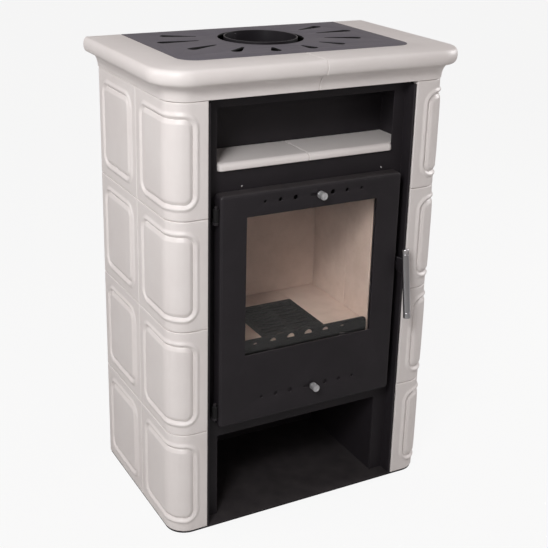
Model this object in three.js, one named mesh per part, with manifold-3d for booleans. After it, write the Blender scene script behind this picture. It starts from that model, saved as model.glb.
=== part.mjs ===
// Tiled wood stove: a welded steel stove in a jacket of glazed tiles, with a ceramic cornice,
// a warming niche, a glazed door with two air sliders, and a log store below.
// Millimetres. +Z is up and the front faces -Y. The origin lies on the floor, under the middle
// of the tiled body.
import * as THREE from "three";
import { mergeVertices } from "three/addons/utils/BufferGeometryUtils.js";
import Module from "manifold-3d";

const wasm = await Module();
wasm.setup();

// ---- Driving dimensions -------------------------------------------------------------------

// Fits
const seatGap = 0.3; // between two pieces that touch
const runGap = 0.5; // round a piece that turns or slides
const tileJoint = 1; // between neighbouring tiles
const reach = 5; // how far a cutter runs past the face that it cuts

// Facets of a full circle
const roundFacets = 36;
const pinFacets = 16;

// Heights up the front, from the floor
const baseThickness = 4;
const storeHeight = 184; // clear height of the log store
const doorBottomGap = 35; // from the log store's lintel to the door
const doorHeight = 483;
const nicheSillRise = 39; // from the door to the niche
const nicheHeight = 121;
const topBand = 21.3; // steel above the niche

// Widths across the front
const doorWidth = 402;
const doorSideGap = 18.5; // from the door to the tile rail, room for hinge and lever
const railThickness = 5.5;
const faceWing = 17; // steel face behind each rail
const cornerTileLeg = 74.2; // front leg of a corner tile

// Depths
const bodyDepth = 365;
const faceSetback = 32.5; // steel face behind the front of the tiles
const nicheDepth = 96;
const storeDepth = 258;

// Tiles
const tileRows = 4;
const bodyCornerRadius = 42;
const sideTileWidth = 198.5;
const tileThickness = 12;
const tileEdge = 2; // eased edge
const beadWidth = 13;
const beadHeight = 4;
const beadMargin = 24; // from the tile's edge to the middle of the bead
const beadRadius = 25;
const beadRoot = 1.2; // how deep beads and fields reach into the tile
const fieldInset = 8.5; // from the middle of the bead in to the raised field
const fieldHeight = 2.6;
const fieldShoulder = 6;

// Cornice and top plate
const coveFoot = 1.5;
const coveRun = 19;
const coveRise = 31;
const noseRun = 9.8;
const noseHeight = 30;
const corniceWall = 14;
const corniceSlab = 20;
const topLedge = 50; // flat ceramic from the tile face in to the plate
const topLedgeExtra = 4.5; // more of it along the front
const plateThickness = 4;
const plateSeat = 11; // how far the plate lies on the cornice
const plateCornerRadius = 37;
const corniceSeam = 1;

// Flue
const flueRadius = 75;
const flueWall = 2;
const flueFromBack = 128.5;
const flueRise = 3; // rim above the top plate
const flueFlange = 9;
const plateHoleGap = 12.4; // from the collar to the top plate
const slotFan = [24, 3, -21.5, -46.5, -74]; // directions of the warm air slots on one side, degrees
const slotBorder = 31; // plate left beyond the slots
const slotCollarSide = 134; // where the slots start, to the side of the flue's centre
const slotCollarFront = 113; // and in front of it
const slotTipRadius = 2.2;
const slotEndRadius = 7.5;

// Steel sheets
const faceThickness = 3;
const linerThickness = 2;
const railNoseSetback = 2; // rail behind the front of the tiles
const railFlange = 32;
const railFlangeThickness = 2.5;
const railTopSetback = 6;
const rearPanelThickness = 1.5;
const rearAngleLeg = 40;
const rearLip = 24;
const rearSlotColumns = 5;
const rearSlotWidth = 8;
const rearSlotHeight = 60;

// Niche and log store
const storeSideBand = 30.5; // steel post beside the log store
const nicheSideBand = 25.5;
const nicheWing = 36; // niche behind the face, past each side of its opening
const shelfThickness = 15;
const shelfOverhang = 7;
const shelfNose = 9; // radius of the front edge
const shelfCorner = 9; // radius of the front corners, in plan

// Firebox
const shellThickness = 4;
const shellTopGap = 15; // below the top of the tiles
const shellRearGap = 60;
const mouthSide = 39; // from the door's edge to the firebox mouth
const mouthFoot = 17;
const mouthHead = 24;
const brickThickness = 30;
const brickInset = 3; // brick face outside the mouth
const brickChamfer = 1.5;
const brickSplit = 93; // length of the front wall bricks
const grateWidth = 146;
const grateDepth = 144;
const grateFront = 36.5; // from the steel face to the grate
const grateThickness = 12;
const grateRim = 6;
const gratePitch = 15;
const grateSlot = 8;
const grateRib = 12;
const hearthPlate = 4;
const baffleThickness = 25;
const baffleThroat = 80; // smoke way in front of the baffle
const guardThickness = 4;
const guardSideGap = 4; // from the guard to the side of the mouth
const guardSetback = 7; // behind the steel face
const guardRise = 12; // above the hearth bricks
const guardCornerRadius = 35;
const portPitch = 41;
const portRadii = [9.5, 7.5, 5]; // half-moon ports from the middle outwards
const panWidth = 190;
const panDepth = 200;
const panHeight = 62;
const pullReach = 8; // pull of the ash pan, out from its front wall
const pullFoot = 34; // above the foot of the pan
const pullHeight = 12;

// Door
const doorDepth = 26;
const doorSheet = 3;
const doorBend = 5;
const windowSide = 55.5;
const windowHead = 47.5;
const windowFoot = 148;
const glassThickness = 4;
const glassLap = 9;
const clipWidth = 12;
const clipInset = 63; // from the window's side to the middle of a clip
const clipLap = 2; // above the window's lower edge
const clipSeat = 6; // of the clip against the door's sheet
const sealWidth = 7;
const sealDepth = 14;
const sealWall = 2;
const airHoleRadii = [5.4, 4.4, 3.3]; // from the middle outwards
const airHolePitch = 33;
const upperAirDrop = 21; // from the door's top edge
const lowerAirRise = 50.5; // from the door's bottom edge
const airSlotLeft = 10;
const airSlotHeight = 7;
const sliderTravel = 16;
const sliderThickness = 2;
const sliderHeight = 15;
const guideSheet = 1.6;
const guideLip = 2.2;
const sliderEnd = 12; // past the middle of the outer air hole
const knobRadius = 7.5;
const knobLength = 17;
const knobStand = 3.5;
const shankRadius = 3;

// Hinge
const hingePinRadius = 3;
const knuckleWall = 2.2;
const knuckleLength = 26;
const knuckleInset = 24; // from the door's top and bottom edges
const lugThickness = 4;
const hingePinEnd = 5; // pin above the knuckle

// Handle
const leverThickness = 5;
const leverHubRadius = 13;
const leverRise = 282; // pivot above the door's bottom edge
const leverSetback = 16.5; // pivot behind the door's front
const leverBar = 33; // height of the lever where it meets the grip
const pivotRadius = 4;
const pivotHead = 2.5;
const pivotHeadRim = 2; // head past the pin
const gripRadius = 7.5;
const gripLength = 147;
const gripLean = 8.4; // degrees, foot of the grip away from the door
const gripTopRise = 40; // top of the grip above the pivot
const gripReach = 38.5; // grip axis in front of the pivot, at the pivot's height
const gripCap = 11;
const gripGroove = 1.2;
const gripGrooveDepth = 0.8;
const turnedEdge = 1.5; // eased ends of turned pieces
const keeperHeight = 8;
const keeperMargin = 1; // wider than the lever, on each side
const keeperReach = 11; // out from the steel face
const keeperGap = 5; // above the hub of the lever

// ---- Sizes that follow ----------------------------------------------------------------------

const doorHalf = doorWidth / 2;
const railInner = doorHalf + doorSideGap;
const tileInner = railInner + railThickness + seatGap;
const bodyHalf = tileInner + cornerTileLeg;
const front = -bodyDepth / 2;
const back = bodyDepth / 2;
const faceY = front + faceSetback;
const faceBack = faceY + faceThickness;

const storeTop = baseThickness + storeHeight;
const doorBottom = storeTop + doorBottomGap;
const doorTop = doorBottom + doorHeight;
const nicheBottom = doorTop + nicheSillRise;
const nicheTop = nicheBottom + nicheHeight;
const tileTop = nicheTop + topBand;
const tileFoot = baseThickness + seatGap;
const tileHeight = (tileTop - tileFoot - (tileRows - 1) * tileJoint) / tileRows;
const corniceFoot = tileTop + tileJoint;
const corniceHeight = coveRise + noseHeight;
const topLevel = corniceFoot + corniceHeight;
const slabFoot = topLevel - corniceSlab;
const plateFoot = topLevel - plateThickness;
const ceilingFoot = slabFoot - runGap; // steel that stands up inside the cornice

const sideRun = bodyDepth - bodyCornerRadius;
const cornerRun = (bodyCornerRadius * Math.PI) / 2;
const cornerFacets = 5;
const wrapEnd = sideRun + cornerRun + bodyHalf - bodyCornerRadius - tileInner;

const plateHalf = bodyHalf - topLedge;
const plateFront = front + topLedge + topLedgeExtra;
const flueY = back - flueFromBack;
const plateHoleRadius = flueRadius + plateHoleGap;

const faceHalf = railInner + faceWing;
const nicheHalf = railInner - nicheSideBand;
const storeHalf = railInner - storeSideBand;

const mouthHalf = doorHalf - mouthSide;
const mouthBottom = doorBottom + mouthFoot;
const mouthTop = doorTop - mouthHead;
const brickFace = mouthHalf + brickInset;
const shellInner = brickFace + brickThickness + runGap;
const shellOuter = shellInner + shellThickness;
const shellBack = back - shellRearGap;
const shellFront = faceBack + seatGap;
const shellBottom = doorBottom + mouthFoot - 2 * shellThickness;
const shellTop = tileTop - shellTopGap;
const windowBottom = doorBottom + windowFoot;
const windowTop = doorTop - windowHead;
const windowHalf = doorHalf - windowSide;
const hearthTop = windowBottom;
const hearthSeat = hearthTop - brickThickness - seatGap;
const brickTop = mouthTop - brickInset;
const guardY = faceY + guardSetback;
const chamberFront = guardY + guardThickness + 2 * runGap;
const brickBackFace = shellBack - shellThickness - brickThickness - runGap;
const grateY = faceY + grateFront;
const grateBack = grateY + grateDepth;

const doorFront = front + runGap;
const doorRear = doorFront + doorDepth;
const panelRear = doorFront + doorSheet;
const sealFront = faceY - seatGap - sealDepth;
const upperAirZ = doorTop - upperAirDrop;
const lowerAirZ = doorBottom + lowerAirRise;
const airHoleReach = (airHoleRadii.length + 0.25) * airHolePitch;
const knobX = airSlotLeft;
const sliderY = panelRear + seatGap;

const knuckleRadius = hingePinRadius + runGap + knuckleWall;
const hingeX = -doorHalf - knuckleRadius - runGap;
const hingeY = doorFront + knuckleRadius + runGap;

const leverX = doorHalf + doorSideGap / 2 + 0.8;
const pivotY = doorFront + leverSetback;
const pivotZ = doorBottom + leverRise;

// ---- Materials ------------------------------------------------------------------------------

const finish = (color, roughness, metalness) =>
  new THREE.MeshStandardMaterial({ color, roughness, metalness });
const glaze = finish(0xded6d1, 0.32, 0);
const blackSteel = finish(0x353236, 0.62, 0.35);
const greySteel = finish(0x65636a, 0.55, 0.45);
const stainless = finish(0xc9c9cc, 0.26, 1);
const fireclay = finish(0xcdb3a0, 0.92, 0);
const castIron = finish(0x2c2c2e, 0.78, 0.4);
const ceramicGlass = finish(0x2b2523, 0.08, 0);
ceramicGlass.transparent = true;
ceramicGlass.opacity = 0.35;
const rope = finish(0x6d675f, 0.95, 0);

// ---- Helpers --------------------------------------------------------------------------------

// A closed geometry as a solid that can be cut and joined.
function asSolid(geometry) {
  geometry.deleteAttribute("normal");
  geometry.deleteAttribute("uv");
  const merged = mergeVertices(geometry, 1e-4);
  return new wasm.Manifold(
    new wasm.Mesh({
      numProp: 3,
      vertProperties: new Float32Array(merged.attributes.position.array),
      triVerts: new Uint32Array(merged.index.array),
    }),
  );
}

function asGeometry(solid) {
  const mesh = solid.getMesh();
  const geometry = new THREE.BufferGeometry();
  geometry.setAttribute("position", new THREE.BufferAttribute(mesh.vertProperties, 3));
  geometry.setIndex(new THREE.BufferAttribute(mesh.triVerts, 1));
  return geometry;
}

// A closed surface from points and triangles, with its faces turned outwards.
function closedSurface(points, triangles) {
  const a = new THREE.Vector3();
  const b = new THREE.Vector3();
  let volume = 0;
  for (const [i, j, k] of triangles) {
    a.copy(points[i]).cross(b.copy(points[j]));
    volume += a.dot(points[k]);
  }
  const turned = volume < 0 ? triangles.map(([i, j, k]) => [i, k, j]) : triangles;
  const geometry = new THREE.BufferGeometry().setFromPoints(points);
  geometry.setIndex(turned.flat());
  return geometry;
}

function block(x0, x1, y0, y1, z0, z1) {
  const geometry = new THREE.BoxGeometry(x1 - x0, y1 - y0, z1 - z0);
  geometry.translate((x0 + x1) / 2, (y0 + y1) / 2, (z0 + z1) / 2);
  return asSolid(geometry);
}

function rectangle(x0, y0, x1, y1) {
  return new THREE.Shape().moveTo(x0, y0).lineTo(x1, y0).lineTo(x1, y1).lineTo(x0, y1);
}

function roundedRectangle(x0, y0, x1, y1, radius) {
  const quarter = Math.PI / 2;
  const shape = new THREE.Shape();
  shape.absarc(x1 - radius, y0 + radius, radius, -quarter, 0);
  shape.absarc(x1 - radius, y1 - radius, radius, 0, quarter);
  shape.absarc(x0 + radius, y1 - radius, radius, quarter, 2 * quarter);
  shape.absarc(x0 + radius, y0 + radius, radius, 2 * quarter, 3 * quarter);
  return shape;
}

function polygon(points) {
  return new THREE.Shape(points.map(([x, y]) => new THREE.Vector2(x, y)));
}

function circle(x, y, radius) {
  return new THREE.Path().absarc(x, y, radius, 0, 2 * Math.PI);
}

// A plan outline carried up from z0 to z1. Its top and bottom edges can be eased.
function standing(shape, z0, z1, { facets = 4, ease = 0, easeSteps = 1 } = {}) {
  const geometry = new THREE.ExtrudeGeometry(shape, {
    depth: z1 - z0 - 2 * ease,
    curveSegments: facets,
    bevelEnabled: ease > 0,
    bevelThickness: ease,
    bevelSize: ease,
    bevelOffset: -ease,
    bevelSegments: easeSteps,
  });
  geometry.translate(0, 0, z0 + ease);
  return geometry;
}

// A front view outline in X and Z, carried back from y0 to y1.
function facing(shape, y0, y1, options) {
  const geometry = standing(shape, 0, y1 - y0, options);
  geometry.rotateX(Math.PI / 2);
  geometry.translate(0, y1, 0);
  return geometry;
}

// A side view outline in Y and Z, carried across from x0 to x1.
function across(shape, x0, x1, options) {
  const geometry = standing(shape, x0, x1, options);
  const turn = new THREE.Matrix4().set(0, 0, 1, 0, 1, 0, 0, 0, 0, 1, 0, 0, 0, 0, 0, 1);
  geometry.applyMatrix4(turn);
  return geometry;
}

// A turned piece. Its profile holds [radius, height] pairs and closes on itself or on the axis.
function turned(profile, segments) {
  const points = profile.map(([r, z]) => new THREE.Vector2(r, z));
  const geometry = new THREE.LatheGeometry(points, segments);
  geometry.rotateX(Math.PI / 2);
  return geometry;
}

// Cuts front view outlines through a solid from y0 to y1, and a little past both.
function pierced(solid, outlines, y0, y1) {
  return outlines.reduce((rest, outline) => {
    const shape = new THREE.Shape(outline.getPoints(4));
    return rest.subtract(asSolid(facing(shape, y0 - reach, y1 + 2 * runGap)));
  }, solid);
}

// Closed rings of equal length joined in order, with flat ends.
function loft(rings) {
  const count = rings[0].length;
  const triangles = [];
  for (let r = 0; r + 1 < rings.length; r += 1) {
    for (let i = 0; i < count; i += 1) {
      const a = r * count + i;
      const b = r * count + ((i + 1) % count);
      triangles.push([a, b, b + count], [a, b + count, a + count]);
    }
  }
  const last = (rings.length - 1) * count;
  for (let i = 1; i + 1 < count; i += 1) {
    triangles.push([0, i + 1, i], [last, last + i, last + i + 1]);
  }
  return closedSurface(rings.flat(), triangles);
}

const stove = new THREE.Group();
const body = new THREE.Group();
const door = new THREE.Group();
const handle = new THREE.Group();
stove.add(body, door);
door.add(handle);

function place(parent, name, shape, material) {
  const geometry = shape.isBufferGeometry ? shape : asGeometry(shape);
  geometry.computeVertexNormals();
  const mesh = new THREE.Mesh(geometry, material);
  mesh.name = name;
  parent.add(mesh);
  return mesh;
}

const sides = [
  ["left", -1],
  ["right", 1],
];

// A point on the tiled jacket. run is measured along the tile face from the back edge of one
// side, round the front corner, towards the middle of the front.
function jacketPoint(side, run, out, z) {
  const radius = bodyCornerRadius;
  if (run <= sideRun) {
    return new THREE.Vector3(side * (bodyHalf + out), back - run, z);
  }
  if (run >= sideRun + cornerRun) {
    const x = bodyHalf - radius - (run - sideRun - cornerRun);
    return new THREE.Vector3(side * x, front - out, z);
  }
  const angle = (run - sideRun) / radius;
  const x = bodyHalf - radius + (radius + out) * Math.cos(angle);
  const y = front + radius - (radius + out) * Math.sin(angle);
  return new THREE.Vector3(side * x, y, z);
}

const cornerStations = Array.from(
  { length: cornerFacets + 1 },
  (_, i) => sideRun + (cornerRun * i) / cornerFacets,
);

// ---- Tiles ----------------------------------------------------------------------------------

// The flat and rounded stations between two runs, both ends included.
function stationsBetween(from, to) {
  return [from, ...cornerStations.filter((s) => s > from && s < to), to];
}

function tileBody(side, from, to) {
  const outer = stationsBetween(from + tileEdge, to - tileEdge);
  const outline = [
    jacketPoint(side, from, -tileEdge, 0),
    ...outer.map((s) => jacketPoint(side, s, 0, 0)),
    jacketPoint(side, to, -tileEdge, 0),
    ...stationsBetween(from, to).reverse().map((s) => jacketPoint(side, s, -tileThickness, 0)),
  ];
  const shape = polygon(outline.map((p) => [p.x, p.y]));
  return standing(shape, 0, tileHeight, { ease: tileEdge, easeSteps: 2 });
}

// Middle line of the bead, a rounded rectangle on the unrolled tile face, with its outward way.
function beadStations(from, to) {
  const low = beadMargin + beadRadius;
  const corners = [
    [to - low, tileHeight - low],
    [from + low, tileHeight - low],
    [from + low, low],
    [to - low, low],
  ];
  const steps = 3;
  const bends = cornerStations.filter((s) => s > from + low && s < to - low);
  const stations = [];
  corners.forEach(([run, z], quarter) => {
    for (let i = 0; i <= steps; i += 1) {
      const angle = ((quarter + i / steps) * Math.PI) / 2;
      const way = [Math.cos(angle), Math.sin(angle)];
      stations.push({ run: run + beadRadius * way[0], z: z + beadRadius * way[1], way });
    }
    if (quarter === 0) {
      const top = [...bends].reverse();
      top.forEach((s) => stations.push({ run: s, z: tileHeight - beadMargin, way: [0, 1] }));
    }
    if (quarter === 2) {
      bends.forEach((s) => stations.push({ run: s, z: beadMargin, way: [0, -1] }));
    }
  });
  return stations;
}

function tileBead(side, from, to) {
  const section = [
    [-0.5, -beadRoot],
    [-0.36, beadHeight * 0.66],
    [0, beadHeight],
    [0.36, beadHeight * 0.66],
    [0.5, -beadRoot],
  ];
  const stations = beadStations(from, to);
  const points = stations.flatMap(({ run, z, way }) =>
    section.map(([share, out]) => {
      const aside = share * beadWidth;
      return jacketPoint(side, run + aside * way[0], out, z + aside * way[1]);
    }),
  );
  const width = section.length;
  const triangles = [];
  stations.forEach((_, s) => {
    const next = ((s + 1) % stations.length) * width;
    for (let i = 0; i < width; i += 1) {
      const j = (i + 1) % width;
      const here = s * width;
      triangles.push([here + i, next + i, next + j], [here + i, next + j, here + j]);
    }
  });
  return closedSurface(points, triangles);
}

// Raised field inside the bead, a low cushion with rounded corners. Its edge stands fieldInset
// inside the middle of the bead all the way round.
function tileField(side, from, to) {
  const edge = beadMargin + fieldInset;
  const radius = beadRadius - fieldInset;
  const steps = 3;
  const ends = Array.from({ length: steps + 1 }, (_, i) => {
    const angle = (i / steps) * (Math.PI / 2);
    return [radius * (1 - Math.cos(angle)), radius * (1 - Math.sin(angle))];
  });
  const low = ends.map(([along, inset]) => [from + edge + along, inset, along]);
  const high = ends.map(([along, inset]) => [to - edge - along, inset, along]).reverse();
  const bends = cornerStations
    .filter((s) => s > from + edge + radius && s < to - edge - radius)
    .map((s) => [s, 0, radius]);
  const rings = [...low, ...bends, ...high].map(([run, inset, along]) => {
    const rise = fieldHeight * Math.min(along / fieldShoulder, 1);
    const foot = edge + inset;
    const head = tileHeight - foot;
    return [
      jacketPoint(side, run, -beadRoot, foot),
      jacketPoint(side, run, rise, foot + fieldShoulder),
      jacketPoint(side, run, rise, head - fieldShoulder),
      jacketPoint(side, run, -beadRoot, head),
    ];
  });
  return loft(rings);
}

function glazedTile(side, from, to) {
  const forms = [tileBead, tileField].map((form) => asSolid(form(side, from, to)));
  return forms.reduce((whole, form) => whole.add(form), asSolid(tileBody(side, from, to)));
}

function addTiles() {
  for (const [word, side] of sides) {
    const flat = glazedTile(side, 0, sideTileWidth);
    const bent = glazedTile(side, sideTileWidth + tileJoint, wrapEnd);
    for (let row = 0; row < tileRows; row += 1) {
      const z = tileFoot + row * (tileHeight + tileJoint);
      place(body, `side_tile_${word}_${row + 1}`, flat, glaze).position.z = z;
      place(body, `corner_tile_${word}_${row + 1}`, bent, glaze).position.z = z;
    }
  }
}

// ---- Cornice, top plate and flue ------------------------------------------------------------

// Outline of the jacket, out from its face, as one ring at a height.
function jacketRing(out, z) {
  const left = [0, ...cornerStations].map((s) => jacketPoint(-1, s, out, z));
  const right = [0, ...cornerStations].map((s) => jacketPoint(1, s, out, z));
  return [...left, ...right.reverse()];
}

// Cove and bullnose as [out, height] pairs, from the foot up to the flat top.
function corniceProfile() {
  const steps = 5;
  const cove = Array.from({ length: steps + 1 }, (_, i) => {
    const angle = (i / steps) * (Math.PI / 2);
    return [coveFoot + coveRun * (1 - Math.cos(angle)), coveRise * Math.sin(angle)];
  });
  const nose = Array.from({ length: steps + 2 }, (_, i) => {
    const angle = ((i + 1) / (steps + 2) - 0.5) * Math.PI;
    const rise = (noseHeight / 2) * (1 + Math.sin(angle));
    return [coveFoot + coveRun + noseRun * Math.cos(angle), coveRise + rise];
  });
  nose[nose.length - 1][1] = corniceHeight;
  return [...cove, ...nose];
}

function plateOutline(grow, length) {
  const x = plateHalf + grow;
  const y = plateFront - grow;
  const radius = plateCornerRadius + grow;
  const shape = new THREE.Shape();
  shape.moveTo(x, length);
  shape.lineTo(-x, length);
  shape.absarc(-x + radius, y + radius, radius, Math.PI, 1.5 * Math.PI);
  shape.absarc(x - radius, y + radius, radius, -0.5 * Math.PI, 0);
  return shape;
}

function addCornice() {
  const rings = corniceProfile().map(([out, rise]) => jacketRing(out, corniceFoot + rise));
  const past = back + reach;
  const seat = plateFoot - seatGap;
  const wall = bodyHalf - corniceWall;
  const hollow = block(-wall, wall, front + corniceWall, past, corniceFoot - reach, slabFoot);
  const through = asSolid(standing(plateOutline(-plateSeat, past), slabFoot - reach, seat + 1));
  const rebate = asSolid(standing(plateOutline(seatGap, past), seat, topLevel + reach));
  const whole = asSolid(loft(rings)).subtract(hollow).subtract(through).subtract(rebate);
  const wide = bodyHalf * 2;
  for (const [word, side] of sides) {
    const x = [side * (corniceSeam / 2), side * wide].sort((a, b) => a - b);
    const half = block(x[0], x[1], front * 2, past, corniceFoot - reach, topLevel + reach);
    place(body, `cornice_${word}`, whole.intersect(half), glaze);
  }
}

// Distance from the flue's centre to an ellipse round it.
function ellipseRadius(angle, side, ahead) {
  return 1 / Math.hypot(Math.cos(angle) / side, Math.sin(angle) / ahead);
}

// A warm air slot: a drop with its small end towards the flue. The slots run between two
// ellipses, so those at the sides are long and those in front are short.
function slotOutline(angle) {
  const shape = new THREE.Path();
  const inner = ellipseRadius(angle, slotCollarSide, slotCollarFront);
  const outer = ellipseRadius(angle, plateHalf - slotBorder, flueY - plateFront - slotBorder);
  const middle = (radius) => [radius * Math.cos(angle), flueY + radius * Math.sin(angle)];
  const [x0, y0] = middle(inner + slotTipRadius);
  const [x1, y1] = middle(outer - slotEndRadius);
  const quarter = Math.PI / 2;
  shape.absarc(x0, y0, slotTipRadius, angle + quarter, angle + 3 * quarter);
  shape.absarc(x1, y1, slotEndRadius, angle - quarter, angle + quarter);
  return shape;
}

function addTopPlate() {
  const shape = plateOutline(0, back);
  for (const degrees of slotFan) {
    const angle = THREE.MathUtils.degToRad(degrees);
    shape.holes.push(slotOutline(angle), slotOutline(Math.PI - angle));
  }
  const plate = standing(shape, plateFoot, topLevel, { facets: 4 });
  const hole = new THREE.CylinderGeometry(plateHoleRadius, plateHoleRadius, 4 * reach, roundFacets);
  hole.rotateX(Math.PI / 2);
  hole.translate(0, flueY, topLevel);
  place(body, "top_plate", asSolid(plate).subtract(asSolid(hole)), greySteel);
}

function addFlueCollar() {
  const foot = shellTop + seatGap;
  const rim = topLevel + flueRise;
  const inner = flueRadius - flueWall;
  const profile = [
    [inner, foot],
    [flueRadius + flueFlange, foot],
    [flueRadius + flueFlange, foot + flueWall],
    [flueRadius, foot + flueWall],
    [flueRadius, rim],
    [inner, rim],
    [inner, foot],
  ];
  place(body, "flue_collar", turned(profile, roundFacets), blackSteel).position.y = flueY;
}

// ---- Steel frame, rails and back ------------------------------------------------------------

function addBase() {
  const x = bodyHalf - tileEdge;
  const y = front + tileEdge;
  const radius = bodyCornerRadius - tileEdge;
  const shape = new THREE.Shape();
  shape.moveTo(x, back - tileEdge);
  shape.lineTo(-x, back - tileEdge);
  shape.absarc(-x + radius, y + radius, radius, Math.PI, 1.5 * Math.PI);
  shape.absarc(x - radius, y + radius, radius, -0.5 * Math.PI, 0);
  place(body, "base_plate", standing(shape, 0, baseThickness, { facets: 6 }), blackSteel);
}

// The steel face, with legs beside the log store and openings for firebox and niche.
function addFrontFrame() {
  const shape = polygon([
    [-faceHalf, tileFoot],
    [-storeHalf, tileFoot],
    [-storeHalf, storeTop],
    [storeHalf, storeTop],
    [storeHalf, tileFoot],
    [faceHalf, tileFoot],
    [faceHalf, ceilingFoot],
    [-faceHalf, ceilingFoot],
  ]);
  shape.holes.push(rectangle(-nicheHalf, nicheBottom, nicheHalf, nicheTop));
  shape.holes.push(rectangle(-mouthHalf, mouthBottom, mouthHalf, mouthTop));
  place(body, "front_frame", facing(shape, faceY, faceBack), blackSteel);
}

// Upright rails on the face. Each has a round nose and a flange behind the corner tile.
function addTileRails() {
  const rear = faceY - seatGap;
  const half = railThickness / 2;
  const nose = front + railNoseSetback + half;
  const flange = front + tileThickness + tileEdge;
  for (const [word, side] of sides) {
    const arc = Array.from({ length: 5 }, (_, i) => {
      const angle = Math.PI + (Math.PI * i) / 4;
      return [railInner + half + half * Math.cos(angle), nose + half * Math.sin(angle)];
    });
    const outer = railInner + railThickness;
    const points = [
      [railInner, rear],
      ...arc,
      [outer, flange],
      [outer + railFlange, flange],
      [outer + railFlange, flange + railFlangeThickness],
      [outer, flange + railFlangeThickness],
      [outer, rear],
    ];
    const shape = polygon(points.map(([x, y]) => [side * x, y]));
    place(body, `tile_rail_${word}`, standing(shape, tileFoot, tileTop - railTopSetback), blackSteel);
  }
}

// Angles that hold the back edge of the side tiles and the rear panel.
function addRearAngles() {
  const outer = bodyHalf - tileThickness - seatGap;
  const inner = outer - railFlangeThickness;
  const rear = back - tileEdge;
  for (const [word, side] of sides) {
    const shape = polygon(
      [
        [outer, rear - rearAngleLeg],
        [outer, rear],
        [outer - rearLip, rear],
        [outer - rearLip, rear - railFlangeThickness],
        [inner, rear - railFlangeThickness],
        [inner, rear - rearAngleLeg],
      ].map(([x, y]) => [side * x, y]),
    );
    place(body, `rear_angle_${word}`, standing(shape, tileFoot, tileTop - railTopSetback), blackSteel);
  }
}

// Back sheet with upright air slots near its foot and its head.
function addRearPanel() {
  const half = bodyHalf - tileThickness - 2 * seatGap - railFlangeThickness;
  const rear = back - tileEdge - railFlangeThickness - seatGap;
  const foot = tileFoot + 2 * reach;
  const neck = plateHalf - plateSeat - runGap;
  const shape = polygon([
    [-half, foot],
    [half, foot],
    [half, ceilingFoot],
    [neck, ceilingFoot],
    [neck, plateFoot - runGap],
    [-neck, plateFoot - runGap],
    [-neck, ceilingFoot],
    [-half, ceilingFoot],
  ]);
  const pitch = (2 * half) / (rearSlotColumns + 2);
  for (const low of [foot + rearSlotHeight, ceilingFoot - 2 * rearSlotHeight]) {
    for (let i = 0; i < rearSlotColumns; i += 1) {
      const x = (i - (rearSlotColumns - 1) / 2) * pitch;
      const edge = rearSlotWidth / 2;
      const slot = roundedRectangle(x - edge, low, x + edge, low + rearSlotHeight, edge / 2);
      shape.holes.push(slot);
    }
  }
  place(body, "rear_panel", facing(shape, rear - rearPanelThickness, rear, { facets: 1 }), blackSteel);
}

// ---- Niche and log store --------------------------------------------------------------------

// Pan of the niche. It is wider than the opening, so its sides lie behind the steel face.
function addNiche() {
  const half = nicheHalf + nicheWing;
  const rear = faceY + nicheDepth;
  const sheet = linerThickness;
  const outer = block(
    -half - sheet,
    half + sheet,
    shellFront,
    rear + sheet,
    nicheBottom - sheet,
    nicheTop + runGap + sheet,
  );
  const inner = block(-half, half, shellFront - reach, rear, nicheBottom, nicheTop + runGap);
  place(body, "niche_pan", outer.subtract(inner), blackSteel);
  for (const [word, side] of sides) {
    place(body, `shelf_tile_${word}`, shelfTile(side, half - 2 * runGap, rear - 2 * runGap), glaze);
  }
}

// One half of the niche's shelf. Its front passes through the opening of the steel face and ends
// in a round nose, and behind the face it spreads out to the side of the pan.
function shelfTile(side, wide, rear) {
  const foot = nicheBottom + seatGap;
  const top = foot + shelfThickness;
  const nose = faceY - shelfOverhang;
  const narrow = nicheHalf - 2 * runGap;
  const seam = side * (corniceSeam / 2);
  const shoulder = faceBack + 2 * runGap;
  const plan = new THREE.Shape();
  plan.moveTo(seam, rear);
  plan.lineTo(seam, nose);
  const from = Math.PI * 1.5;
  const to = side > 0 ? 2 * Math.PI : Math.PI;
  plan.absarc(side * (narrow - shelfCorner), nose + shelfCorner, shelfCorner, from, to, side < 0);
  plan.lineTo(side * narrow, shoulder);
  plan.lineTo(side * wide, shoulder);
  plan.lineTo(side * wide, rear);
  const profile = new THREE.Shape();
  profile.moveTo(rear, foot);
  profile.lineTo(rear, top);
  profile.absarc(nose + shelfNose, top - shelfNose, shelfNose, Math.PI / 2, Math.PI);
  profile.lineTo(nose, foot + tileEdge);
  profile.lineTo(nose + tileEdge, foot);
  const slab = asSolid(standing(plan, foot, top));
  return slab.intersect(asSolid(across(profile, -wide - reach, wide + reach)));
}

// Folded sheet round the log store: two sides, a top and a back that stand on the base plate.
function addLogStore() {
  const side = storeHalf + linerThickness;
  const rear = faceY + storeDepth;
  const head = storeTop + linerThickness;
  const outer = block(-side, side, shellFront, rear + linerThickness, tileFoot, head);
  const inner = block(-storeHalf, storeHalf, shellFront - reach, rear, tileFoot - reach, storeTop);
  place(body, "log_store_liner", outer.subtract(inner), blackSteel);
}

// ---- Firebox --------------------------------------------------------------------------------

// Side view of the firebox, stepped back above the door to leave room for the niche.
function fireboxProfile(inset, frontEdge) {
  const step = nicheBottom - linerThickness - 2 * runGap - inset;
  const stepBack = faceY + nicheDepth + linerThickness + 2 * runGap + inset;
  return polygon([
    [frontEdge, shellBottom + inset],
    [shellBack - inset, shellBottom + inset],
    [shellBack - inset, shellTop - inset],
    [stepBack, shellTop - inset],
    [stepBack, step],
    [frontEdge, step],
  ]);
}

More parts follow.
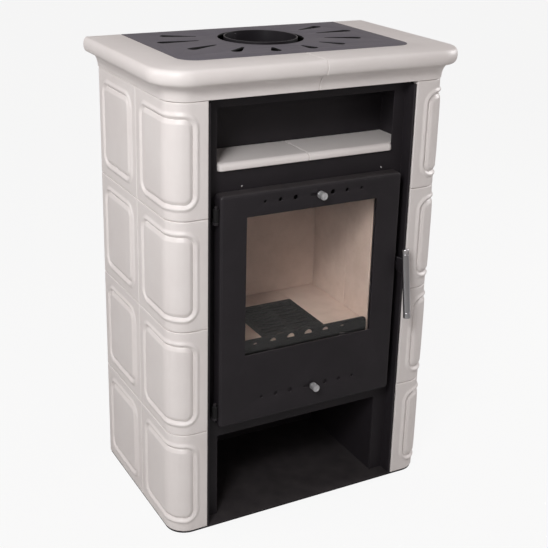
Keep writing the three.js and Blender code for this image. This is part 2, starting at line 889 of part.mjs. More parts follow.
function addFireboxShell() {
  const outer = asSolid(across(fireboxProfile(0, shellFront), -shellOuter, shellOuter));
  const inner = asSolid(
    across(fireboxProfile(shellThickness, shellFront - reach), -shellInner, shellInner),
  );
  const bore = new THREE.CylinderGeometry(flueRadius, flueRadius, 4 * reach, roundFacets);
  bore.rotateX(Math.PI / 2);
  bore.translate(0, flueY, shellTop);
  const grateHalf = grateWidth / 2 - grateRim;
  const hearth = block(
    -shellInner - 1,
    shellInner + 1,
    shellFront,
    shellBack - 1,
    hearthSeat - hearthPlate,
    hearthSeat,
  ).subtract(
    block(
      -grateHalf,
      grateHalf,
      grateY + grateRim,
      grateBack - grateRim,
      hearthSeat - hearthPlate - reach,
      hearthSeat + reach,
    ),
  );
  const shell = outer.subtract(inner).subtract(asSolid(bore)).add(hearth);
  place(body, "firebox_shell", shell, blackSteel);
}

function addBrick(name, x0, x1, y0, y1, z0, z1) {
  const shape = rectangle(x0, y0, x1, y1);
  place(body, name, standing(shape, z0, z1, { ease: brickChamfer }), fireclay);
}

function addBricks() {
  const low = hearthSeat + seatGap;
  const split = chamberFront + brickSplit;
  const wallBack = brickBackFace - seatGap;
  for (const [word, side] of sides) {
    const x = [side * brickFace, side * (brickFace + brickThickness)].sort((a, b) => a - b);
    addBrick(`wall_brick_${word}_front`, x[0], x[1], chamberFront, split, low, brickTop);
    addBrick(`wall_brick_${word}_rear`, x[0], x[1], split + seatGap, wallBack, low, brickTop);
    const floor = [side * (grateWidth / 2 + runGap), side * (brickFace - seatGap)];
    floor.sort((a, b) => a - b);
    addBrick(`floor_brick_${word}`, floor[0], floor[1], chamberFront, wallBack, low, hearthTop);
  }
  const wide = brickFace + brickThickness;
  const rear = brickBackFace + brickThickness;
  addBrick("back_brick", -wide, wide, brickBackFace, rear, low, brickTop);
  const grateHalf = grateWidth / 2;
  const grateRear = grateBack + runGap;
  addBrick("floor_brick_rear", -grateHalf, grateHalf, grateRear, wallBack, low, hearthTop);
  const strip = grateY - runGap;
  addBrick("floor_brick_front", -grateHalf, grateHalf, chamberFront, strip, low, hearthTop - 1);
}

// Flat grate with two columns of cross slots and a rim that stands on the hearth plate.
function addGrate() {
  const half = grateWidth / 2 - seatGap;
  const top = hearthTop;
  const foot = hearthSeat + seatGap;
  const rows = Math.floor((grateDepth - 2 * grateRim - grateSlot) / gratePitch) + 1;
  const first = (grateY + grateBack) / 2 - ((rows - 1) * gratePitch) / 2;
  const near = grateRib / 2;
  const far = half - 2 * grateRim;
  let deck = block(-half, half, grateY, grateBack, foot, top).subtract(
    block(
      -half + grateRim,
      half - grateRim,
      grateY + grateRim,
      grateBack - grateRim,
      foot - reach,
      top - grateThickness,
    ),
  );
  for (let row = 0; row < rows; row += 1) {
    const low = first + row * gratePitch - grateSlot / 2;
    for (const [x0, x1] of [
      [near, far],
      [-far, -near],
    ]) {
      deck = deck.subtract(block(x0, x1, low, low + grateSlot, foot, top + reach));
    }
  }
  place(body, "grate", deck, castIron);
}

// Log guard across the mouth, with a row of half-moon ports just above the hearth.
function addLogGuard() {
  const half = mouthHalf - guardSideGap;
  const foot = hearthSeat + seatGap;
  const top = hearthTop + guardRise;
  const radius = guardCornerRadius;
  const shape = new THREE.Shape();
  shape.moveTo(-half, foot);
  shape.lineTo(half, foot);
  shape.absarc(half - radius, top - radius, radius, 0, Math.PI / 2);
  shape.absarc(-half + radius, top - radius, radius, Math.PI / 2, Math.PI);
  const ports = portRadii.flatMap((portRadius, i) =>
    [-1, 1].map((side) => {
      const x = side * (i + 0.5) * portPitch;
      return new THREE.Path().absarc(x, hearthTop - 1, portRadius, 0, Math.PI);
    }),
  );
  const rear = guardY + guardThickness;
  const plate = asSolid(facing(shape, guardY, rear, { facets: 6 }));
  place(body, "log_guard", pierced(plate, ports, guardY, rear), castIron);
}

function addBaffle() {
  const foot = brickTop + seatGap;
  const half = brickFace + brickThickness / 2;
  const rear = brickBackFace + brickThickness / 2;
  addBrick("baffle", -half, half, chamberFront + baffleThroat, rear, foot, foot + baffleThickness);
}

// Open pan under the grate, with a pull on its front wall.
function addAshPan() {
  const half = panWidth / 2;
  const foot = shellBottom + shellThickness + seatGap;
  const y = chamberFront;
  const sheet = linerThickness;
  const outer = block(-half, half, y, y + panDepth, foot, foot + panHeight);
  const inner = block(
    -half + sheet,
    half - sheet,
    y + sheet,
    y + panDepth - sheet,
    foot + sheet,
    foot + panHeight + reach,
  );
  const low = foot + pullFoot;
  const high = low + pullHeight;
  const edge = y - pullReach;
  const hook = polygon([
    [y + sheet / 2, high],
    [edge, high],
    [edge, low],
    [edge + sheet, low],
    [edge + sheet, high - sheet],
    [y + sheet / 2, high - sheet],
  ]);
  const pull = across(hook, -panWidth / 6, panWidth / 6);
  place(body, "ash_pan", outer.subtract(inner).add(asSolid(pull)), blackSteel);
}

// ---- Door -----------------------------------------------------------------------------------

// Air holes either side of the knob's slot. shift moves the whole pattern along X.
function airHoles(z, shift) {
  const last = airHoleRadii.length - 1;
  return airHoleRadii.flatMap((radius, i) => [
    circle(shift + airHoleReach - (last - i) * airHolePitch, z, radius),
    circle(shift - airHoleReach + (last - i) * airHolePitch, z, radius),
  ]);
}

function airSlot(z) {
  const half = airSlotHeight / 2;
  const right = knobX + shankRadius + runGap;
  return roundedRectangle(-airSlotLeft, z - half, right, z + half, half - 0.01);
}

// A rectangular ring in front view. inset is measured from the door's edge.
function doorRing(inset, width) {
  const x = doorHalf - inset;
  const low = doorBottom + inset;
  const high = doorTop - inset;
  const ring = rectangle(-x, low, x, high);
  ring.holes.push(rectangle(-x + width, low + width, x - width, high - width));
  return ring;
}

// Folded steel pan, with the window, the air holes and a channel for the rope seal.
function addDoorPanel() {
  const rearCut = block(-doorWidth, doorWidth, doorRear, doorRear + doorDepth, 0, 2 * doorTop);
  const edge = rectangle(-doorHalf, doorBottom, doorHalf, doorTop);
  const pan = asSolid(
    facing(edge, doorFront, doorRear + doorBend + reach, { ease: doorBend, easeSteps: 3 }),
  ).subtract(rearCut);
  const pocket = block(
    -doorHalf + doorSheet,
    doorHalf - doorSheet,
    panelRear,
    doorRear + reach,
    doorBottom + doorSheet,
    doorTop - doorSheet,
  );
  const channel = sealWidth + 2 * seatGap;
  const floor = doorRing(doorSheet - 1, channel + sealWall + 1);
  const wall = doorRing(doorSheet + channel, sealWall);
  const carrier = asSolid(facing(floor, panelRear - 1, sealFront - seatGap)).add(
    asSolid(facing(wall, sealFront - 1, doorRear - runGap)),
  );
  const guides = sliderGuides(upperAirZ).add(sliderGuides(lowerAirZ));
  const openings = rectangle(-windowHalf, windowBottom, windowHalf, windowTop);
  const holes = [airSlot(upperAirZ), airSlot(lowerAirZ)];
  holes.push(...airHoles(upperAirZ, 0), ...airHoles(lowerAirZ, 0));
  const folded = pan.subtract(pocket).add(carrier).add(guides);
  const panel = pierced(folded, [openings, ...holes], doorFront, panelRear - 1);
  place(door, "door_panel", panel.add(hingeKnuckles()), blackSteel);
}

// Hooked strips above and below an air slider, which keep it against the sheet.
function sliderGuides(z) {
  const half = airHoleReach + sliderEnd;
  const open = sliderHeight / 2 + runGap;
  const lip = sliderY + sliderThickness + runGap;
  const hook = [
    [panelRear - 1, open],
    [lip, open],
    [lip, open - guideLip],
    [lip + guideSheet, open - guideLip],
    [lip + guideSheet, open + guideSheet],
    [panelRear - 1, open + guideSheet],
  ];
  const [above, below] = [1, -1].map((way) =>
    asSolid(across(polygon(hook.map(([y, rise]) => [y, z + way * rise])), -half, half)),
  );
  return above.add(below);
}

// Two hinge barrels on the door's left edge, each on a tab of the door's front sheet.
function hingeKnuckles() {
  const barrels = [doorBottom + knuckleInset, doorTop - knuckleInset - knuckleLength].map((z) => {
    const outer = new THREE.CylinderGeometry(knuckleRadius, knuckleRadius, knuckleLength, pinFacets);
    const bore = new THREE.CylinderGeometry(
      hingePinRadius + runGap,
      hingePinRadius + runGap,
      knuckleLength + 2 * reach,
      pinFacets,
    );
    for (const geometry of [outer, bore]) {
      geometry.rotateX(Math.PI / 2);
      geometry.translate(hingeX, hingeY, z + knuckleLength / 2);
    }
    const tab = block(
      hingeX,
      -doorHalf + doorSheet / 2,
      hingeY + knuckleRadius - doorSheet,
      hingeY + knuckleRadius - 0.2,
      z,
      z + knuckleLength,
    );
    return asSolid(outer).add(tab).subtract(asSolid(bore));
  });
  return barrels[0].add(barrels[1]);
}

function addGlassAndSeal() {
  const x = windowHalf + glassLap;
  const glassY = panelRear + seatGap;
  const shape = rectangle(-x, windowBottom - glassLap, x, windowTop + glassLap);
  const pane = facing(shape, glassY, glassY + glassThickness);
  place(door, "door_glass", pane, ceramicGlass);
  const seal = doorRing(doorSheet + seatGap, sealWidth);
  place(door, "door_seal", facing(seal, sealFront, sealFront + sealDepth), rope);
  const low = windowBottom - glassLap;
  const seat = panelRear + seatGap;
  const lip = glassY + glassThickness + seatGap;
  const high = windowBottom + clipLap;
  const foot = low - 3 * runGap - clipSeat;
  const clip = polygon([
    [seat, foot],
    [lip, foot],
    [lip, high],
    [lip + linerThickness, high],
    [lip + linerThickness, foot - linerThickness],
    [seat, foot - linerThickness],
  ]);
  for (const [word, side] of sides) {
    const middle = side * (windowHalf - clipInset);
    const piece = across(clip, middle - clipWidth / 2, middle + clipWidth / 2);
    place(door, `glass_clip_${word}`, piece, blackSteel);
  }
}

// One air slider and its knob. shift sets where the slider's holes stand at rest.
function addAirSlider(word, z, shift) {
  const half = airHoleReach + sliderEnd;
  const edge = sliderHeight / 2;
  const shape = rectangle(-half, z - edge, half + sliderTravel, z + edge);
  const rear = sliderY + sliderThickness;
  const holes = [...airHoles(z, shift), circle(knobX, z, shankRadius + seatGap)];
  const plate = pierced(asSolid(facing(shape, sliderY, rear)), holes, sliderY, rear);
  place(door, `${word}_air_slider`, plate, blackSteel);

  const neck = doorFront - knobStand;
  const face = neck - knobLength;
  const tail = rear + linerThickness;
  const profile = [
    [0, tail],
    [shankRadius, tail],
    [shankRadius, neck],
    [knobRadius - 1, neck],
    [knobRadius, neck - 1],
    [knobRadius, face + turnedEdge],
    [knobRadius - turnedEdge, face],
    [0, face],
  ];
  const knob = new THREE.LatheGeometry(
    profile.map(([r, y]) => new THREE.Vector2(r, y)).reverse(),
    pinFacets,
  );
  const mesh = place(door, `${word}_air_knob`, knob, stainless);
  mesh.position.set(knobX, 0, z);
}

// Lugs on the steel face that carry the hinge pins, each pin welded to its lug.
function addHingeLugs() {
  const round = hingePinRadius + knuckleWall;
  const y1 = faceY - seatGap;
  const feet = {
    lower: doorBottom + knuckleInset,
    upper: doorTop - knuckleInset - knuckleLength,
  };
  for (const [word, foot] of Object.entries(feet)) {
    const shape = new THREE.Shape();
    shape.moveTo(hingeX + round, y1);
    shape.lineTo(hingeX - round, y1);
    shape.absarc(hingeX, hingeY, round, Math.PI, 2 * Math.PI);
    const top = foot - runGap;
    const lug = standing(shape, top - lugThickness, top, { facets: 8 });
    const length = lugThickness / 2 + knuckleLength + hingePinEnd;
    const pin = new THREE.CylinderGeometry(hingePinRadius, hingePinRadius, length, pinFacets);
    pin.rotateX(Math.PI / 2);
    pin.translate(hingeX, hingeY, top + (length - lugThickness) / 2);
    place(body, `hinge_lug_${word}`, asSolid(lug).add(asSolid(pin)), blackSteel);
  }
}

// ---- Handle ---------------------------------------------------------------------------------

// Built about its own pivot: the group stands at the pivot, and the lever turns about X.
function addHandle() {
  const lean = THREE.MathUtils.degToRad(gripLean);
  const offset = (gripRadius + seatGap) / Math.cos(lean);
  const edgeY = (z) => -gripReach + offset + z * Math.tan(lean);
  const high = leverBar / 2;
  const shape = new THREE.Shape();
  shape.moveTo(edgeY(high), high);
  shape.lineTo(edgeY(-high), -high);
  shape.absarc(0, 0, leverHubRadius, 1.35 * Math.PI, 2.4 * Math.PI);
  shape.holes.push(circle(0, 0, pivotRadius + runGap));
  const lever = across(shape, -leverThickness / 2, leverThickness / 2, { facets: 10 });
  place(handle, "handle_lever", lever, blackSteel);

  const half = gripLength / 2;
  const end = [
    [0, half],
    [gripRadius - turnedEdge, half],
    [gripRadius, half - turnedEdge],
    [gripRadius, half - gripCap],
    [gripRadius - gripGrooveDepth, half - gripCap - gripGroove / 2],
    [gripRadius, half - gripCap - gripGroove],
  ];
  const profile = [...end.map(([r, z]) => [r, -z]), ...end.reverse()];
  const grip = place(handle, "handle_grip", turned(profile, pinFacets), stainless);
  const middle = gripTopRise - (gripLength / 2) * Math.cos(lean);
  grip.position.set(0, -gripReach + middle * Math.tan(lean), middle);
  grip.rotation.x = -lean;
  handle.position.set(leverX, pivotY, pivotZ);

  const start = doorHalf + seatGap;
  const headFrom = leverX + leverThickness / 2 + runGap;
  const pin = [
    [0, start],
    [pivotRadius, start],
    [pivotRadius, headFrom],
    [pivotRadius + pivotHeadRim, headFrom],
    [pivotRadius + pivotHeadRim, headFrom + pivotHead],
    [0, headFrom + pivotHead],
  ];
  const pivot = turned(pin, pinFacets);
  pivot.rotateY(Math.PI / 2);
  place(door, "handle_pivot", pivot, stainless).position.set(0, pivotY, pivotZ);
}

// Catch on the steel face, above the hub of the lever.
function addKeeper() {
  const foot = pivotZ + leverHubRadius + keeperGap;
  const half = leverThickness / 2 + keeperMargin;
  const rear = faceY - seatGap;
  const shape = polygon([
    [rear, foot],
    [rear, foot + 2 * keeperHeight],
    [rear - doorSheet, foot + 2 * keeperHeight],
    [rear - doorSheet, foot + keeperHeight],
    [rear - keeperReach, foot + keeperHeight],
    [rear - keeperReach, foot],
  ]);
  place(body, "latch_keeper", across(shape, leverX - half, leverX + half), blackSteel);
}

// ---- Assembly -------------------------------------------------------------------------------

addBase();
addTiles();
addCornice();
addTopPlate();
addFlueCollar();
addFrontFrame();
addTileRails();
addRearAngles();
addRearPanel();
addNiche();
addLogStore();
addFireboxShell();
addBricks();
addGrate();
addLogGuard();
addBaffle();
addAshPan();
addHingeLugs();
addKeeper();
addDoorPanel();
addGlassAndSeal();
addAirSlider("upper", upperAirZ, 0);
addAirSlider("lower", lowerAirZ, sliderTravel);
addHandle();

export default stove;
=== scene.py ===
"""Tiled wood stove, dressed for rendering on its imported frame.

Every piece keeps the place that the frame gives it. Pieces whose shape needs more detail than the
frame carries are built here in code and stand for their nodes. The others keep their node, get a
fine bevel, and take a procedural material. Sizes are in millimetres until a mesh is made.
"""

import logging
import math
from dataclasses import dataclass, field
from enum import Enum
from typing import Iterable, Sequence

import bmesh
import bpy
from mathutils import Matrix, Vector, noise


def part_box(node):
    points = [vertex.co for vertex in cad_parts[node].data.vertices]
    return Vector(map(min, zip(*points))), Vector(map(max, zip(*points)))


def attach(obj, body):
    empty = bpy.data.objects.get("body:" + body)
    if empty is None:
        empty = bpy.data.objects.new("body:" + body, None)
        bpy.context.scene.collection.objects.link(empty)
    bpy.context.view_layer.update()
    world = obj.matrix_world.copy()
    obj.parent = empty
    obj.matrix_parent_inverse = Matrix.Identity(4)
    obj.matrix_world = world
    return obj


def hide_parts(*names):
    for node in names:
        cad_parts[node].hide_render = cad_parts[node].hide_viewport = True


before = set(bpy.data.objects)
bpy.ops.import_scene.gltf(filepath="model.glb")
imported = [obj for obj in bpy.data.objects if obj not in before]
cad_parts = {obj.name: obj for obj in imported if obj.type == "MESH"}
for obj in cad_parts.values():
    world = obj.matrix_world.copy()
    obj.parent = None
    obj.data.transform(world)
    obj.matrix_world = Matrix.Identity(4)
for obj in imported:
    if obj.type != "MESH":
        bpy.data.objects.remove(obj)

LOG = logging.getLogger("stove")
MM = 0.001
RIGHTWARD, FORWARD, BACKWARD, UPWARD = (1, 0, 0), (0, -1, 0), (0, 1, 0), (0, 0, 1)
WHITE = (1, 1, 1, 1)

Point = tuple[float, float, float]
Flat = tuple[float, float]
Face = Sequence[int]
Colour = tuple[float, float, float, float]
Piece = bpy.types.Object
Material = bpy.types.Material
Socket = bpy.types.NodeSocket


class Slot(Enum):
    """The material slots of the record."""

    GLAZE = "glazed_tile"
    BLACK_STEEL = "black_steel"
    GREY_STEEL = "grey_steel"
    STAINLESS = "stainless_steel"
    FIREBRICK = "firebrick"
    CAST_IRON = "cast_iron"
    FIRE_GLASS = "fire_glass"
    ROPE = "rope_seal"


class Look(Enum):
    """Finishes that only some pieces of a slot have."""

    # Painted shade: near-black steel for places that sit in shade.
    PAINTED_SHADE = "blackened_steel"
    SMOOTHED = "smoothed_paint"
    # Painted highlight: black paint whose edges are strongly lightened.
    EDGE_HIGHLIT = "handled_paint"
    TURNED = "turned_steel"


class Body(Enum):
    """The rigid bodies that pieces ride on."""

    STOVE = "stove"
    DOOR = "door"
    HANDLE = "handle"
    UPPER_AIR = "upper_air"
    LOWER_AIR = "lower_air"


class Side(Enum):
    """Left and right side of the stove, as seen from the front."""

    LEFT = -1
    RIGHT = 1

    @property
    def word(self) -> str:
        """The side's name in lower case."""
        return self.name.lower()


# ---- Mesh tools ------------------------------------------------------------------------------


def link(name: str, data: bpy.types.ID) -> Piece:
    """Puts data into the scene as an object. Returns the object."""
    made = bpy.data.objects.new(name, data)
    bpy.context.scene.collection.objects.link(made)
    return made


def make_object(name: str, points: Iterable[Point], faces: Iterable[Face], sharp: float = 35.0) -> Piece:
    """Makes a mesh object whose faces point outwards.

    Args:
        name: Name of the object.
        points: Vertices in millimetres.
        faces: Vertex numbers of each face.
        sharp: Edges that bend by more than this many degrees stay sharp.

    Returns:
        The new object.
    """
    mesh = bpy.data.meshes.new(name)
    mesh.from_pydata([Vector(p) * MM for p in points], [], [list(f) for f in faces])
    return finish_mesh(name, mesh, sharp)


def finish_mesh(name: str, mesh: bpy.types.Mesh, sharp: float) -> Piece:
    """Turns the faces of a mesh outwards, shades it smooth and makes an object of it.

    Args:
        name: Name of the object.
        mesh: The mesh, in metres.
        sharp: Edges that bend by more than this many degrees stay sharp.

    Returns:
        The new object.
    """
    shape = bmesh.new()
    shape.from_mesh(mesh)
    bmesh.ops.remove_doubles(shape, verts=shape.verts, dist=1e-6)
    bmesh.ops.recalc_face_normals(shape, faces=shape.faces)
    shape.to_mesh(mesh)
    shape.free()
    mesh.polygons.foreach_set("use_smooth", [True] * len(mesh.polygons))
    mesh.set_sharp_from_angle(angle=math.radians(sharp))
    return link(name, mesh)


def join(name: str, pieces: Sequence[Piece]) -> Piece:
    """Joins mesh objects into a new one, and removes them.

    Args:
        name: Name of the joined object.
        pieces: The objects.

    Returns:
        The joined object.
    """
    shape = bmesh.new()
    for piece in pieces:
        shape.from_mesh(piece.data)
    mesh = bpy.data.meshes.new(name)
    shape.to_mesh(mesh)
    shape.free()
    for piece in pieces:
        bpy.data.objects.remove(piece)
    return link(name, mesh)


def loft(name: str, rings: Sequence[Sequence[Point]], sharp: float, closed: bool = False) -> Piece:
    """Joins closed rings of equal length in order.

    Args:
        name: Name of the object.
        rings: The rings, in millimetres.
        sharp: Edges that bend by more than this many degrees stay sharp.
        closed: True where the last ring meets the first one, so that there are no end caps.

    Returns:
        The new object.
    """
    count = len(rings[0])
    faces: list[Face] = []
    for r in range(len(rings) - (not closed)):
        here, there = r * count, (r + 1) % len(rings) * count
        for i in range(count):
            j = (i + 1) % count
            faces.append((here + i, here + j, there + j, there + i))
    if not closed:
        faces += [range(count), range((len(rings) - 1) * count, len(rings) * count)]
    return make_object(name, [p for ring in rings for p in ring], faces, sharp)


def lathe(name: str, profile: Sequence[Flat], centre: Point, axis: Point, steps: int) -> Piece:
    """Turns a profile about an axis.

    Args:
        name: Name of the object.
        profile: Pairs of radius and distance along the axis. It starts and ends on the axis, or
            it is a closed ring.
        centre: The point of the axis from which the distances count.
        axis: Direction of the axis.
        steps: Number of sides.

    Returns:
        The new object.
    """
    turn = Vector(UPWARD).rotation_difference(Vector(axis).normalized()).to_matrix()
    count = len(profile)
    on_axis = [radius < 1e-6 for radius, _ in profile]
    points: list[Point] = []
    faces: list[Face] = []
    for s in range(steps):
        angle = 2 * math.pi * s / steps
        for radius, along in profile:
            local = Vector((radius * math.cos(angle), radius * math.sin(angle), along))
            points.append(tuple(Vector(centre) + turn @ local))
        here, there = s * count, (s + 1) % steps * count
        for i in range(count - (on_axis[0] and on_axis[-1])):
            j = (i + 1) % count
            face = [here + i, here + j]
            face += [] if on_axis[j] else [there + j]
            face += [] if on_axis[i] else [there + i]
            faces.append(face)
    return make_object(name, points, faces)


def arc(x: float, y: float, radius: float, start: float, end: float, steps: int) -> list[Flat]:
    """Points along an arc.

    Args:
        x: Centre of the arc.
        y: Centre of the arc.
        radius: Its radius.
        start: Its first angle in degrees.
        end: Its last angle in degrees.
        steps: Number of steps, one less than the points.

    Returns:
        The points.
    """
    angles = [math.radians(start + (end - start) * i / steps) for i in range(steps + 1)]
    return [(x + radius * math.cos(a), y + radius * math.sin(a)) for a in angles]


def circle(x: float, y: float, radius: float, steps: int) -> list[Flat]:
    """Points round a whole circle."""
    return arc(x, y, radius, 0, 360 - 360 / steps, steps - 1)


def quarter(steps: int) -> list[float]:
    """Angles from 0 to 90 degrees in equal steps, in radians."""
    return [math.pi / 2 * i / steps for i in range(steps + 1)]


def rounded_box(x0: float, y0: float, x1: float, y1: float, radius: float, steps: int = 6) -> list[Flat]:
    """The outline of a rectangle with round corners, anticlockwise from the lower right."""
    xs, ys = (x0 + radius, x1 - radius), (y0 + radius, y1 - radius)
    corners = ((xs[1], ys[0], -90), (xs[1], ys[1], 0), (xs[0], ys[1], 90), (xs[0], ys[0], 180))
    return [p for x, y, turn in corners for p in arc(x, y, radius, turn, turn + 90, steps)]


def plain_box(half: float, low: float, high: float) -> list[Flat]:
    """The outline of a rectangle that lies evenly about the middle."""
    return [(half, low), (half, high), (-half, high), (-half, low)]


def edge_fall(near: float, radius: float) -> float:
    """How far a face falls back near its rounded edge.

    Args:
        near: Distance from the edge.
        radius: Radius of the rounding.

    Returns:
        The fall, which is 0 beyond the radius.
    """
    away = max(radius - near, 0.0)
    return radius - math.sqrt(max(radius**2 - away**2, 0.0)) if away else 0.0


class Facing(Enum):
    """How the flat outline of a plate lies, as columns of a turning matrix."""

    UP = ((1, 0, 0), (0, 1, 0), (0, 0, 1))
    FRONT = ((1, 0, 0), (0, 0, 1), (0, -1, 0))
    SIDE = ((0, 1, 0), (0, 0, 1), (1, 0, 0))


def cut_plate(
    name: str, outline: Sequence[Flat], holes: Sequence[Sequence[Flat]], facing: Facing, span: Flat, edge: float
) -> Piece:
    """Cuts a flat sheet with holes and eased edges.

    Args:
        name: Name of the object.
        outline: Outer edge, in millimetres.
        holes: Edges of the holes.
        facing: How the sheet lies.
        span: Places of its two faces along its normal.
        edge: Radius of the eased edges.

    Returns:
        The new object.
    """
    low, high = span
    curve = bpy.data.curves.new(name, "CURVE")
    curve.dimensions = "2D"
    curve.fill_mode = "BOTH"
    curve.extrude = ((high - low) / 2 - edge) * MM
    curve.bevel_depth = edge * MM
    curve.bevel_resolution = 2
    curve.offset = -edge * MM
    for loop in (outline, *holes):
        spline = curve.splines.new("POLY")
        spline.points.add(len(loop) - 1)
        for target, (x, y) in zip(spline.points, loop):
            target.co = (x * MM, y * MM, 0, 1)
        spline.use_cyclic_u = True
    carrier = link(name + "_curve", curve)
    graph = bpy.context.evaluated_depsgraph_get()
    mesh = bpy.data.meshes.new_from_object(carrier.evaluated_get(graph))
    bpy.data.objects.remove(carrier)
    bpy.data.curves.remove(curve)
    turn = Matrix(facing.value).transposed().to_4x4()
    mesh.transform(turn @ Matrix.Translation((0, 0, (low + high) / 2 * MM)))
    return finish_mesh(name, mesh, 30.0)


def node_box(node: str) -> tuple[Vector, Vector]:
    """Lowest and highest corner of a CAD node, in millimetres."""
    low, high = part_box(node)
    return Vector(low) / MM, Vector(high) / MM


# ---- Shared effects --------------------------------------------------------------------------


def add_node(
    tree: bpy.types.NodeTree, kind: str, feeds: dict | None = None, **settings: object
) -> bpy.types.Node:
    """Adds a node to a tree.

    Args:
        tree: The tree.
        kind: The node's type.
        feeds: Values or sockets for its inputs, by name or number.
        **settings: Attributes of the node.

    Returns:
        The node.
    """
    node = tree.nodes.new(kind)
    for key, value in settings.items():
        setattr(node, key, value)
    for key, value in (feeds or {}).items():
        if isinstance(value, Socket):
            tree.links.new(value, node.inputs[key])
        else:
            node.inputs[key].default_value = value
    return node


def add_math(tree: bpy.types.NodeTree, operation: str, a: object, b: object, clamp: bool = False) -> Socket:
    """Adds a Math node to a tree.

    Args:
        tree: The tree.
        operation: What the node does.
        a: First value or socket.
        b: Second value or socket.
        clamp: True to keep the result from 0 to 1.

    Returns:
        Its output.
    """
    return add_node(tree, "ShaderNodeMath", {0: a, 1: b}, operation=operation, use_clamp=clamp).outputs[0]


def add_mix(tree: bpy.types.NodeTree, share: object, a: object, b: object) -> Socket:
    """Mixes two colours in a tree by a share. Returns the mixed colour."""
    return add_node(tree, "ShaderNodeMix", {0: share, 6: a, 7: b}, data_type="RGBA").outputs[2]


class Effect:
    """A shader node group with named inputs and one named output."""

    def __init__(self, name: str, output: str, inputs: dict[str, float | Colour]) -> None:
        """Makes the group's shell.

        Args:
            name: Name of the group.
            output: Name of its output. Color makes a colour, and any other name a value.
            inputs: Default value of each input. A tuple makes a colour.
        """
        self.tree = bpy.data.node_groups.new(name, "ShaderNodeTree")
        kinds = {True: "NodeSocketColor", False: "NodeSocketFloat"}
        for title, value in inputs.items():
            kind = kinds[isinstance(value, tuple)]
            self.tree.interface.new_socket(title, in_out="INPUT", socket_type=kind).default_value = value
        self.tree.interface.new_socket(output, in_out="OUTPUT", socket_type=kinds[output == "Color"])
        self.given = self.tree.nodes.new("NodeGroupInput").outputs
        self.result = self.tree.nodes.new("NodeGroupOutput").inputs[0]
        self.place = add_node(self.tree, "ShaderNodeTexCoord").outputs["Object"]

    def node(self, kind: str, feeds: dict | None = None, **settings: object) -> bpy.types.Node:
        """Adds a node to the group. See add_node."""
        return add_node(self.tree, kind, feeds, **settings)

    def math(self, operation: str, a: object, b: object, clamp: bool = False) -> Socket:
        """Adds a Math node to the group. See add_math."""
        return add_math(self.tree, operation, a, b, clamp)

    def cloud(self, scale: str, detail: float, roughness: float = 0.5, place: Socket | None = None) -> Socket:
        """Adds a noise texture to the group.

        Args:
            scale: The group's input that sets its scale.
            detail: Its detail.
            roughness: Its roughness.
            place: Its coordinates, or None for the object's own.

        Returns:
            Its value.
        """
        place = self.place if place is None else place
        feeds = {"Vector": place, "Scale": self.given[scale], "Detail": detail, "Roughness": roughness}
        return self.node("ShaderNodeTexNoise", feeds).outputs["Fac"]

    def give(self, socket: Socket) -> "Effect":
        """Connects a socket to the group's output. Returns the effect."""
        self.tree.links.new(socket, self.result)
        return self


